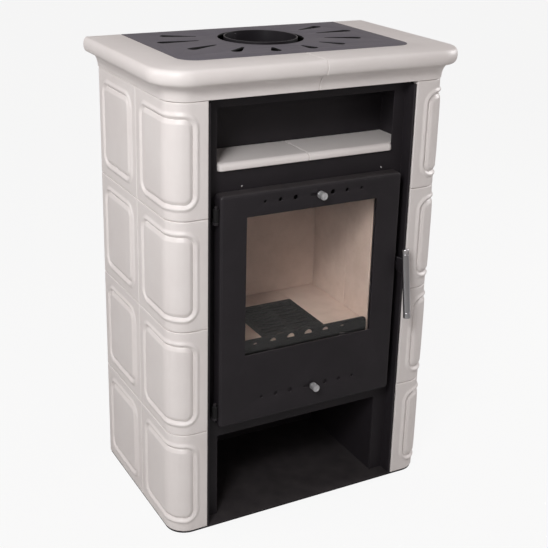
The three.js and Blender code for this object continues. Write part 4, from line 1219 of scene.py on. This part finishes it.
@dataclass
class TopMaker(Maker):
    """Builds the steel top plate with its warm air slots, and the flue collar."""

    half: float = 249.5
    front: float = -128.0
    back: float = 182.5
    corner: float = 37.0
    top: float = 949.3
    thickness: float = 4.0
    flue_y: float = 54.0
    hole: float = 87.4
    fan: tuple[float, ...] = (24.0, 3.0, -21.5, -46.5, -74.0)
    border: float = 29.0
    collar_side: float = 134.0
    collar_front: float = 113.0
    tip: float = 3.2
    end: float = 10.5
    flue_radius: float = 75.0
    flue_wall: float = 2.0
    flange_sheet: float = 2.0
    collar_fillet: float = 1.6
    rim_ease: float = 0.6
    flange_ease: float = 0.4
    weld_angle: float = 108.0
    weld_pitch: float = 1.6
    weld_margin: float = 4.0
    weld_half_turn: float = 0.034

    @staticmethod
    def _ellipse(angle: float, across: float, ahead: float) -> float:
        """Distance from the centre of an ellipse to its edge."""
        return 1 / math.hypot(math.cos(angle) / across, math.sin(angle) / ahead)

    def slot(self, angle: float) -> list[Flat]:
        """Outline of a warm air slot.

        Args:
            angle: Its direction from the flue, in radians.

        Returns:
            The outline.
        """
        x, y, turn = math.cos(angle), math.sin(angle), math.degrees(angle)
        near = self._ellipse(angle, self.collar_side, self.collar_front) + self.tip
        far = self._ellipse(angle, self.half - self.border, self.flue_y - self.front - self.border) - self.end
        tip = arc(near * x, self.flue_y + near * y, self.tip, turn + 90, turn + 270, 8)
        return [*tip, *arc(far * x, self.flue_y + far * y, self.end, turn - 90, turn + 90, 14)]

    def build(self) -> None:
        """Builds and dresses the plate and the collar."""
        x, y = self.half - self.corner, self.front + self.corner
        outline = [
            (self.half, self.back),
            (-self.half, self.back),
            *arc(-x, y, self.corner, 180, 270, 12),
            *arc(x, y, self.corner, 270, 360, 12),
        ]
        holes = [circle(0, self.flue_y, self.hole, 90)]
        for angle in map(math.radians, self.fan):
            holes += [self.slot(angle), self.slot(math.pi - angle)]
        span = (self.top - self.thickness, self.top)
        plate = cut_plate("top_plate_cut", outline, holes, Facing.UP, span, 0.45)
        self.wardrobe.dress(plate, Slot.GREY_STEEL, "top_plate")
        # Painted shade: the cut walls of the slots and of the rim get the near-black steel, so the slots show as dark
        # as the shade under them.
        plate.data.materials.append(self.wardrobe.materials[Look.PAINTED_SHADE])
        for face in plate.data.polygons:
            face.material_index = int(abs(face.normal.z) < 0.5)
        collar = join("flue_collar_turned", [self._collar(), self._weld()])
        self.wardrobe.dress(collar, Slot.BLACK_STEEL, "flue_collar", look=Look.SMOOTHED)

    def _collar(self) -> Piece:
        """Builds the flue collar with its flange."""
        low, high = node_box("flue_collar")
        outer, inner = self.flue_radius, self.flue_radius - self.flue_wall
        flange, foot, rim = (high.x - low.x) / 2, low.z, high.z
        sheet, ease, fillet, soft = self.flange_sheet, self.flange_ease, self.collar_fillet, self.rim_ease
        profile = [
            (inner, foot), (flange - ease, foot), (flange, foot + ease), (flange, foot + sheet - ease),
            (flange - ease, foot + sheet), (outer + fillet, foot + sheet), (outer, foot + sheet + fillet),
            (outer, rim - soft), (outer - soft, rim), (inner + soft, rim), (inner, rim - soft),
        ]
        return lathe("flue_collar_ring", profile, (0, self.flue_y, 0), UPWARD, 96)

    def _weld(self) -> Piece:
        """Builds the beaded weld along the collar's seam."""
        low, high = node_box("flue_collar")
        inner = self.flue_radius - self.flue_wall
        rings: list[list[Point]] = []
        for i in range(int((high.z - low.z - 2 * self.weld_margin) / self.weld_pitch) + 1):
            swell = 1.0 + 0.35 * math.cos(i * math.pi)
            bead = []
            for around in (2 * math.pi * j / 8 for j in range(8)):
                turn = math.radians(self.weld_angle) + self.weld_half_turn * math.sin(around)
                radius = inner + 0.2 - swell * math.cos(around)
                z = low.z + self.weld_margin + i * self.weld_pitch
                bead.append((radius * math.cos(turn), self.flue_y + radius * math.sin(turn), z))
            rings.append(bead)
        return loft("flue_seam_weld", rings, 80.0)


# ---- Steel body ------------------------------------------------------------------------------


@dataclass
class Screw:
    """A domed screw with a hexagon socket."""

    radius: float = 2.2
    rise: float = 1.3
    socket: float = 1.1
    sunk: float = 0.4

    def make(self, name: str, place: Point, way: Point) -> Piece:
        """Builds the screw's head.

        Args:
            name: Name of the object.
            place: Where it sits on the surface.
            way: Direction out of the surface.

        Returns:
            The head.
        """
        dome = [(self.radius * math.cos(a), self.rise * math.sin(a)) for a in quarter(8)[:7]]
        inside = [(self.socket, self.rise * 0.97), (self.socket, self.rise * 0.35), (0.0, self.rise * 0.3)]
        profile = [(0.0, -self.sunk), (self.radius, -self.sunk), *dome, *inside]
        return lathe(name, profile, place, way, 24)


@dataclass
class SteelBodyMaker(Maker):
    """Dresses the steel body: face, rails, niche, log store, back and base."""

    rail_width: float = 5.5
    rail_steps: int = 14
    flange_front: float = -168.5
    flange_sheet: float = 2.5
    face_screws: tuple[Flat, ...] = ((-141.0, 710.5), (172.0, 710.5))
    rear_screw_insets: Point = (14.0, 16.0, 40.0)
    eased: tuple[tuple[float, tuple[str, ...]], ...] = (
        (0.4, ("front_frame", "niche_pan", "log_store_liner", "base_plate", "rear_panel")),
        (0.6, ("firebox_shell", "ash_pan")),
        (0.3, ("hinge_lug_lower", "hinge_lug_upper", "latch_keeper")),
    )

    def _rail(self, side: Side) -> None:
        """Builds one tile rail with a full round nose.

        Args:
            side: Side of the stove.
        """
        node = f"tile_rail_{side.word}"
        low, high = node_box(node)
        inner, flange_out = sorted((abs(low.x), abs(high.x)))
        outer, half = inner + self.rail_width, self.rail_width / 2
        front, rear = self.flange_front, self.flange_front + self.flange_sheet
        outline = [(inner, high.y), *arc(inner + half, low.y + half, half, 180, 360, self.rail_steps)]
        outline += [(outer, front), (flange_out, front), (flange_out, rear), (outer, rear), (outer, high.y)]
        heights = (low.z, (low.z + high.z) / 2, high.z)
        rings = [[(side.value * x, y, z) for x, y in outline] for z in heights]
        self.wardrobe.dress(loft(f"{node}_rolled", rings, 40.0), Slot.BLACK_STEEL, node)

    def build(self) -> None:
        """Builds and dresses the steel body."""
        for side in Side:
            self._rail(side)
            self.wardrobe.keep(f"rear_angle_{side.word}", Slot.BLACK_STEEL, 0.4)
        for edge, nodes in self.eased:
            for node in nodes:
                self.wardrobe.keep(node, Slot.BLACK_STEEL, edge)
        face = node_box("front_frame")[0].y
        places = [(x, face, z) for x, z in self.face_screws]
        heads = [Screw().make("face_screw", place, FORWARD) for place in places]
        self.wardrobe.dress(join("face_screws", heads), Slot.STAINLESS)
        low, high = node_box("rear_panel")
        across, foot, head = self.rear_screw_insets
        places = [
            (x, high.y, z)
            for x in (low.x + across, 0.0, high.x - across)
            for z in (low.z + foot, (low.z + high.z) / 2, high.z - head)
        ]
        heads = [Screw().make("rear_screw", place, BACKWARD) for place in places]
        self.wardrobe.dress(join("rear_screws", heads), Slot.STAINLESS)


# ---- Firebox ---------------------------------------------------------------------------------


@dataclass
class BrickMaker(Maker):
    """Builds the fireclay bricks with worn, slightly uneven edges."""

    nodes: tuple[str, ...] = (
        "wall_brick_left_front",
        "wall_brick_left_rear",
        "wall_brick_right_front",
        "wall_brick_right_rear",
        "back_brick",
        "floor_brick_left",
        "floor_brick_right",
        "floor_brick_rear",
        "floor_brick_front",
        "baffle",
    )
    cell: float = 9.0
    chamfer: float = 1.8
    wander: float = 0.35
    wander_scale: float = 0.09

    def brick(self, node: str) -> Piece:
        """Builds one brick. Its points and faces are put in order, which the cuts leave open.

        Args:
            node: The CAD node that it stands for.

        Returns:
            The brick.
        """
        low, high = node_box(node)
        size, middle = high - low, (low + high) / 2
        shape = bmesh.new()
        bmesh.ops.create_cube(shape, size=1.0)
        bmesh.ops.scale(shape, vec=size, verts=shape.verts)
        bmesh.ops.translate(shape, vec=middle, verts=shape.verts)
        bmesh.ops.bevel(shape, geom=shape.edges, offset=self.chamfer, segments=3, profile=0.6, affect="EDGES")
        for axis in range(3):
            steps = int(size[axis] / self.cell)
            normal = Vector([float(a == axis) for a in range(3)])
            for i in range(1, steps):
                place = normal * (low[axis] + size[axis] * i / steps)
                geometry = [*shape.verts, *shape.edges, *shape.faces]
                bmesh.ops.bisect_plane(shape, geom=geometry, plane_co=place, plane_no=normal)
        for vert in shape.verts:
            rough = abs(noise.noise(vert.co * self.wander_scale) * self.wander)
            inward = middle - vert.co
            for axis in range(3):
                if min(vert.co[axis] - low[axis], high[axis] - vert.co[axis]) < self.chamfer:
                    vert.co[axis] += math.copysign(rough, inward[axis])
        ordered = sorted(shape.verts, key=lambda vert: tuple(vert.co))
        rank = {vert: i for i, vert in enumerate(ordered)}
        rings = [[rank[vert] for vert in face.verts] for face in shape.faces]
        starts = [ring.index(min(ring)) for ring in rings]
        faces = sorted(ring[start:] + ring[:start] for ring, start in zip(rings, starts))
        points = [tuple(vert.co) for vert in ordered]
        shape.free()
        return make_object(f"{node}_cast", points, faces, 40.0)

    def build(self) -> None:
        """Builds and dresses all the bricks."""
        for node in self.nodes:
            self.wardrobe.dress(self.brick(node), Slot.FIREBRICK, node)


@dataclass
class HearthMaker(Maker):
    """Dresses the grate and the log guard."""

    port_pitch: float = 41.0
    port_radii: tuple[float, ...] = (9.5, 7.5, 5.0)
    port_foot: float = 370.0
    corner: float = 9.0
    side_growth: float = 2.5

    def build(self) -> None:
        """Builds and dresses the hearth's iron pieces."""
        self.wardrobe.keep("grate", Slot.CAST_IRON, 0.9)
        low, high = node_box("log_guard")
        half = high.x + self.side_growth
        x, z = half - self.corner, high.z - self.corner
        outline = [
            (-half, low.z), (half, low.z), *arc(x, z, self.corner, 0, 90, 12), *arc(-x, z, self.corner, 90, 180, 12)
        ]
        ports = [
            arc(side.value * (i + 0.5) * self.port_pitch, self.port_foot, radius, 0, 180, 14)
            for i, radius in enumerate(self.port_radii)
            for side in Side
        ]
        guard = cut_plate("log_guard_cut", outline, ports, Facing.FRONT, (-high.y, -low.y), 0.6)
        self.wardrobe.dress(guard, Slot.CAST_IRON, "log_guard")


# ---- Door ------------------------------------------------------------------------------------


@dataclass
class AirHoles:
    """The row of air holes either side of a knob's slot."""

    reach: float = 107.25
    pitch: float = 33.0
    radii: tuple[float, ...] = (3.3, 4.4, 5.4)

    def circles(self, z: float, shift: float) -> list[list[Flat]]:
        """Outlines of the holes, from the outer ones in.

        Args:
            z: Height of the row.
            shift: How far the row stands to the right.

        Returns:
            The outlines.
        """
        aways = [(way * (self.reach - i * self.pitch), r) for i, r in enumerate(self.radii) for way in (1, -1)]
        return [circle(shift + away, z, radius, 24) for away, radius in aways]


@dataclass
class DoorMaker(Maker):
    """Builds the folded steel door and everything that rides on it."""

    half: float = 201.0
    bottom: float = 223.0
    top: float = 706.0
    front: float = -182.0
    depth: float = 26.0
    sheet: float = 3.0
    bend: float = 5.0
    corner: float = 3.2
    lip: float = 0.4
    window: tuple[float, float, float] = (145.5, 371.0, 658.5)
    window_corner: float = 1.2
    upper_air: float = 685.0
    lower_air: float = 273.5
    slot_half: float = 3.5
    slot_left: float = -10.0
    slot_right: float = 13.5
    closed_shift: float = 16.0
    strip: tuple[float, float, float] = (134.0, 667.0, 693.9)
    strip_span: Flat = (166.4, 167.9)
    channel_floor: Point = (0.0, 9.6, -164.7)
    channel_wall: Point = (7.6, 2.0, -156.5)
    wall_front: float = -165.0
    guide_margin: float = 12.0
    guide_gap: float = 2.8
    guide_sheet: float = 1.6
    guide_rise: Flat = (5.8, 8.0)
    hinge: Flat = (-207.2, -175.8)
    barrel_outer: float = 5.7
    barrel_inner: float = 3.5
    barrel_tall: float = 26.0
    barrel_inset: float = 24.0
    tab: tuple[Flat, ...] = ((-204.2, -172.9), (-199.6, -172.9), (-199.6, -170.4), (-205.4, -170.4))
    clip_screw_rise: float = 4.2
    knob_head: float = 17.0
    rope_half: float = 3.4
    rope_inset: float = 3.5
    rope_corner: float = 7.0
    rope_pitch: float = 4.0
    rope_swell: float = 0.06
    holes: AirHoles = field(default_factory=AirHoles)

    def _ring(self, inset: float, y: float) -> list[Point]:
        """A rounded rectangle in front view.

        Args:
            inset: Distance in from the door's edge.
            y: Its depth.

        Returns:
            Its points.
        """
        half, radius = self.half - inset, max(self.corner + self.bend - inset, 0.6)
        return [(x, y, z) for x, z in rounded_box(-half, self.bottom + inset, half, self.top - inset, radius)]

    def _bend(self, inset: float, y: float, radius: float, steps: int) -> list[list[Point]]:
        """The rings of a bend, from the folded side to the face.

        Args:
            inset: Where the folded side stands.
            y: Depth of the face.
            radius: Radius of the bend.
            steps: Number of steps.

        Returns:
            The rings.
        """
        falls = [(1 - math.sin(a), 1 - math.cos(a)) for a in quarter(steps)]
        return [self._ring(inset + radius * side, y + radius * ahead) for side, ahead in falls]

    def _pan(self) -> Piece:
        """Builds the folded pan with its window, air holes and knob slots."""
        rear, skin, lip, sheet = self.front + self.depth, self.front + self.sheet, self.lip, self.sheet
        rings = self._bend(0.0, self.front, self.bend, 8)
        edges = ((0.0, rear - lip), (lip, rear), (sheet - lip, rear), (sheet, rear - lip))
        rings += [self._ring(inset, y) for inset, y in edges]
        rings += reversed(self._bend(sheet, skin, self.bend - sheet, 4))
        flange = loft("door_flange", rings, 40.0, closed=True)
        outline = [(x, z) for x, _, z in self._ring(self.bend, 0.0)]
        half, low, high = self.window
        openings = [rounded_box(-half, low, half, high, self.window_corner, 3)]
        reach = self.slot_half
        for z in (self.upper_air, self.lower_air):
            openings += self.holes.circles(z, 0.0)
            openings.append(rounded_box(self.slot_left, z - reach, self.slot_right, z + reach, reach, 8))
        face = cut_plate("door_face", outline, openings, Facing.FRONT, (-skin, -self.front), 0.3)
        return join("door_pan_folded", [flange, face])

    def _channel(self) -> list[Piece]:
        """Builds the seal's channel, the air wash strip and the guides of the air sliders."""
        skin = self.front + self.sheet
        made = []
        for (inset, width, rear), start in ((self.channel_floor, skin), (self.channel_wall, self.wall_front)):
            inset += self.sheet
            loops = [
                plain_box(self.half - way, self.bottom + way, self.top - way) for way in (inset, inset + width)
            ]
            made.append(cut_plate("door_channel", loops[0], loops[1:], Facing.FRONT, (-rear, -start), 0.3))
        made.append(cut_plate("air_wash_strip", plain_box(*self.strip), [], Facing.FRONT, self.strip_span, 0.2))
        reach = self.holes.reach + self.guide_margin
        lip, sheet, root, (low, high) = skin + self.guide_gap, self.guide_sheet, skin - 0.2, self.guide_rise
        hook = (
            (root, high), (lip, high), (lip, low), (lip + sheet, low), (lip + sheet, high + sheet), (root, high + sheet)
        )
        for z in (self.upper_air, self.lower_air):
            for way in (1, -1):
                rings = [[(x, y, z + way * rise) for y, rise in hook] for x in (-reach, reach)]
                made.append(loft("slider_guide", rings, 30.0))
        return made

    def _barrels(self) -> list[Piece]:
        """Builds the hinge barrels and their tabs."""
        outer, inner, tall = self.barrel_outer, self.barrel_inner, self.barrel_tall
        wide, fine = 0.5, 0.4
        profile = [
            (inner, fine), (inner + fine, 0.0), (outer - wide, 0.0), (outer, wide),
            (outer, tall - wide), (outer - wide, tall), (inner + fine, tall), (inner, tall - fine),
        ]
        made = []
        for foot in (self.bottom + self.barrel_inset, self.top - self.barrel_inset - tall):
            made.append(lathe("hinge_barrel", profile, (*self.hinge, foot), UPWARD, 40))
            rings = [[(x, y, z) for x, y in self.tab] for z in (foot + 0.3, foot + tall - 0.3)]
            made.append(loft("hinge_tab", rings, 30.0))
        return made

    def _slider(self, word: str, z: float, shift: float, body: Body) -> None:
        """Builds an air slider and its knob.

        Args:
            word: upper or lower.
            z: Height of the slider.
            shift: How far its holes stand to the right at rest.
            body: The body that it rides on.
        """
        node, knob = f"{word}_air_slider", f"{word}_air_knob"
        low, high = node_box(node)
        outline = rounded_box(low.x, low.z, high.x, high.z, 1.0, 3)
        holes = self.holes.circles(z, shift)
        plate = cut_plate(f"{node}_cut", outline, holes, Facing.FRONT, (-high.y, -low.y), 0.2)
        self.wardrobe.dress(plate, Slot.BLACK_STEEL, node, body=body)
        low, high = node_box(knob)
        centre = ((low.x + high.x) / 2, high.y, (low.z + high.z) / 2)
        length, radius = high.y - low.y, (high.x - low.x) / 2
        stem = length - self.knob_head
        rear = [(0.9, 0.0), (0.3, 0.3), (0.0, 0.9), (0.0, 5.2), (0.35, 5.5), (0.35, 6.1), (0.0, 6.4)]
        front = [(0.0, 1.3), (0.35, 0.45), (1.2, 0.1), (1.9, 0.0)]
        face = [(4.6, 0.0), (4.2, 0.35), (3.6, 0.35), (3.2, 0.0), (0.8, 0.0), (0.0, 0.25)]
        profile = [(0.0, 0.0), (2.6, 0.0), (3.0, 0.4), (3.0, stem)]
        profile += [(radius - inset, stem + along) for inset, along in rear]
        profile += [(radius - inset, length - back) for inset, back in front]
        profile += [(across, length - back) for across, back in face]
        piece = lathe(f"{knob}_turned", profile, centre, FORWARD, 56)
        self.wardrobe.dress(piece, Slot.STAINLESS, knob, body=body, look=Look.TURNED)

    def _seal(self) -> None:
        """Builds the rope seal as a twisted tube in its channel."""
        low, high = node_box("door_seal")
        middle, rise, inset = (low.y + high.y) / 2, (high.y - low.y) / 2, self.rope_inset
        path = rounded_box(low.x + inset, low.z + inset, high.x - inset, high.z - inset, self.rope_corner, 5)
        dense: list[Flat] = []
        for (x, z), (nx, nz) in zip(path, (*path[1:], path[0])):
            steps = max(int(math.hypot(nx - x, nz - z) / self.rope_pitch), 1)
            dense += [(x + (nx - x) * s / steps, z + (nz - z) * s / steps) for s in range(steps)]
        rings: list[list[Point]] = []
        for i, (x, z) in enumerate(dense):
            (px, pz), (nx, nz) = dense[i - 1], dense[(i + 1) % len(dense)]
            way = Vector((nx - px, nz - pz)).normalized()
            swell = 1.0 + self.rope_swell * math.cos(i * math.pi)
            ring = []
            for angle in (2 * math.pi * j / 14 for j in range(14)):
                out = self.rope_half * swell * math.cos(angle)
                depth = rise * math.sin(angle) * min(swell, 1.0)
                ring.append((x + way.y * out, middle + depth, z - way.x * out))
            rings.append(ring)
        rope = loft("door_seal_rope", rings, 60.0, closed=True)
        self.wardrobe.dress(rope, Slot.ROPE, "door_seal", body=Body.DOOR)

    def build(self) -> None:
        """Builds and dresses the door."""
        dress = self.wardrobe.dress
        pan = join("door_panel_folded", [self._pan(), *self._channel()])
        dress(pan, Slot.BLACK_STEEL, "door_panel", body=Body.DOOR)
        # Painted shade: the hinge barrels in the gap beside the door get the near-black steel of shaded places.
        barrels = join("door_hinge_barrels", self._barrels())
        dress(barrels, Slot.BLACK_STEEL, body=Body.DOOR, look=Look.PAINTED_SHADE)
        self.wardrobe.keep("door_glass", Slot.FIRE_GLASS, 0.4)
        heads = []
        for side in Side:
            node = f"glass_clip_{side.word}"
            self.wardrobe.keep(node, Slot.BLACK_STEEL, 0.3)
            low, high = node_box(node)
            place = ((low.x + high.x) / 2, high.y, low.z + self.clip_screw_rise)
            heads.append(Screw().make("clip_screw", place, BACKWARD))
        dress(join("clip_screws", heads), Slot.STAINLESS, body=Body.DOOR)
        self._seal()
        self._slider("upper", self.upper_air, 0.0, Body.UPPER_AIR)
        self._slider("lower", self.lower_air, self.closed_shift, Body.LOWER_AIR)


@dataclass
class HandleMaker(Maker):
    """Builds the lever, its pivot and the tubular grip."""

    pivot: Flat = (-165.5, 505.0)
    hub: float = 13.0
    hub_arc: Flat = (243.0, 432.0)
    bore: float = 4.5
    bar: float = 33.0
    lean: float = math.radians(8.4)
    reach: float = 38.5
    grip_radius: float = 7.5
    grip_length: float = 147.0
    grip_top: float = 40.0
    cap: float = 11.0
    groove: float = 1.2
    pin_head: float = 2.5

    def _edge(self, z: float) -> Flat:
        """The lever's front edge at a height over the pivot."""
        y0, z0 = self.pivot
        return y0 - self.reach + (self.grip_radius + 0.3) / math.cos(self.lean) + z * math.tan(self.lean), z0 + z

    def build(self) -> None:
        """Builds and dresses the handle."""
        low, high = node_box("handle_lever")
        (y0, z0), lean = self.pivot, self.lean
        rise = self.bar / 2
        outline = [self._edge(rise), self._edge(-rise), *arc(y0, z0, self.hub, *self.hub_arc, 28)]
        bore = circle(y0, z0, self.bore, 36)
        lever = cut_plate("handle_lever_cut", outline, [bore], Facing.SIDE, (low.x, high.x), 0.5)
        dress = self.wardrobe.dress
        # Painted highlight along the lever's edges, from its paint's pale edge tone.
        dress(lever, Slot.BLACK_STEEL, "handle_lever", body=Body.HANDLE, look=Look.EDGE_HIGHLIT)

        middle = self.grip_top - self.grip_length / 2 * math.cos(lean)
        centre = ((low.x + high.x) / 2, y0 - self.reach + middle * math.tan(lean), z0 + middle)
        radius, foot, wide = self.grip_radius, -self.grip_length / 2, self.groove
        start = foot + self.cap
        lower = [(0.0, foot)]
        lower += [(radius - d, foot + up) for d, up in ((1.7, 0.0), (0.8, 0.3), (0.2, 0.9), (0.0, 1.8))]
        notch = ((0.0, -0.2), (0.7, 0.0), (0.9, wide / 2), (0.7, wide), (0.0, wide + 0.2))
        lower += [(radius - d, start + up) for d, up in notch]
        profile = [*lower, *((across, -along) for across, along in reversed(lower))]
        grip = lathe("handle_grip_turned", profile, centre, (0, math.sin(lean), math.cos(lean)), 56)
        dress(grip, Slot.STAINLESS, "handle_grip", body=Body.HANDLE)

        low, high = node_box("handle_pivot")
        length, head = high.x - low.x, (high.z - low.z) / 2
        neck = length - self.pin_head
        rounding = ((0.3, 0.0), (0.0, 0.3), (0.0, 1.6), (0.8, 2.4), (1.6, 2.5))
        profile = [(0.0, 0.0), (4.0, 0.0), (4.0, neck)]
        profile += [(head - inset, neck + along) for inset, along in rounding]
        profile += [(2.2, length), (1.9, length - 1.0), (0.0, length - 1.0)]
        pin = lathe("handle_pivot_turned", profile, (low.x, y0, z0), RIGHTWARD, 40)
        dress(pin, Slot.STAINLESS, "handle_pivot", body=Body.DOOR)


# ---- Studio ----------------------------------------------------------------------------------


@dataclass(frozen=True)
class SoftBox:
    """A rectangular lamp, in metres and watts."""

    name: str
    place: Point
    aim: Point
    size: Flat
    power: float

    def make(self) -> None:
        """Puts the lamp into the scene."""
        light = bpy.data.lights.new(self.name, "AREA")
        light.shape = "RECTANGLE"
        light.size, light.size_y = self.size
        light.energy = self.power
        holder = link(self.name, light)
        holder.location = self.place
        holder.rotation_mode = "QUATERNION"
        holder.rotation_quaternion = (Vector(self.aim) - Vector(self.place)).to_track_quat("-Z", "Y")


@dataclass
class Studio:
    """Camera, lamps, world and floor."""

    focal: float = 1063.7
    sensor: float = 36.0
    azimuth: float = 28.892
    elevation: float = 19.746
    roll: float = 1.486
    place: Point = (-1008.2, -1850.1, 1307.4)
    image: float = 548.0
    shift: float = 43.0
    ambient: float = 0.27
    mirrored: float = 0.38
    warmth: Colour = (1.0, 0.925, 0.9, 1.0)
    floor_half: float = 9000.0
    floor_drop: float = 0.5
    lamps: tuple[SoftBox, ...] = (
        SoftBox("key", (-1.35, -1.2, 1.5), (0, -0.05, 0.5), (0.4, 1.1), 10.5),
        SoftBox("front", (-1.4, -1.6, 2.15), (0, -0.1, 0.62), (0.45, 0.45), 22.5),
        SoftBox("left", (-2.4, 0.5, 1.7), (0, 0, 0.55), (0.9, 0.9), 14.0),
        SoftBox("right", (2.6, -0.2, 1.6), (0, 0, 0.6), (1.0, 1.0), 34.0),
        SoftBox("top", (-0.4, -0.9, 3.0), (0, -0.1, 0.8), (1.2, 1.2), 3.0),
    )

    def camera(self) -> None:
        """Makes the camera that matches the photograph."""
        az, el, roll = map(math.radians, (self.azimuth, self.elevation, self.roll))
        ahead = Vector((math.sin(az) * math.cos(el), math.cos(az) * math.cos(el), -math.sin(el)))
        right = Vector((math.cos(az), -math.sin(az), 0.0))
        up = right.cross(ahead)
        lens = bpy.data.cameras.new("photo_camera")
        lens.sensor_width = self.sensor
        lens.lens = self.focal / self.image * self.sensor
        lens.shift_y = -self.shift / self.image
        holder = link("photo_camera", lens)
        axes = math.cos(roll) * right + math.sin(roll) * up, math.cos(roll) * up - math.sin(roll) * right, -ahead
        holder.matrix_world = Matrix.Translation(Vector(self.place) * MM) @ Matrix(axes).transposed().to_4x4()
        bpy.context.scene.camera = holder

    def world(self) -> None:
        """Sets the surrounding light. To the camera and through glass it shows white."""
        world = bpy.data.worlds.new("studio")
        bpy.context.scene.world = world
        world.use_nodes = True
        tree = world.node_tree
        tree.nodes.clear()
        mirror = add_node(tree, "ShaderNodeLightPath").outputs["Is Glossy Ray"]
        soft = add_node(tree, "ShaderNodeMapRange", {0: mirror, 3: self.ambient, 4: self.mirrored})
        shown = seen_directly(tree)
        strength = add_node(tree, "ShaderNodeMapRange", {0: shown, 3: soft.outputs[0], 4: 1.0}).outputs[0]
        feeds = {"Color": add_mix(tree, shown, self.warmth, WHITE), "Strength": strength}
        back = add_node(tree, "ShaderNodeBackground", feeds)
        add_node(tree, "ShaderNodeOutputWorld", {"Surface": back.outputs[0]})

    def floor(self) -> None:
        """Lays the floor."""
        half = self.floor_half
        corners = [(x, y, -self.floor_drop) for x, y in plain_box(half, -half, half)]
        ground = make_object("studio_floor", corners, [range(4)])
        ground.data.materials.append(FloorFinish().material())

    def build(self) -> None:
        """Sets up the whole studio."""
        self.camera()
        self.floor()
        self.world()
        for lamp in self.lamps:
            lamp.make()
        bpy.context.scene.view_settings.view_transform = "Standard"


def main() -> None:
    """Builds the stove piece by piece, then the studio."""
    logging.basicConfig(level=logging.INFO, format="%(name)s: %(message)s")
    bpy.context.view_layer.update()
    wardrobe = Wardrobe()
    kinds = (TileMaker, CorniceMaker, ShelfMaker, TopMaker, SteelBodyMaker)
    kinds += (BrickMaker, HearthMaker, DoorMaker, HandleMaker)
    for kind in kinds:
        LOG.info("building with %s", kind.__name__)
        kind(wardrobe).build()
    Studio().build()
    bpy.context.view_layer.update()


if __name__ == "__main__":
    main()
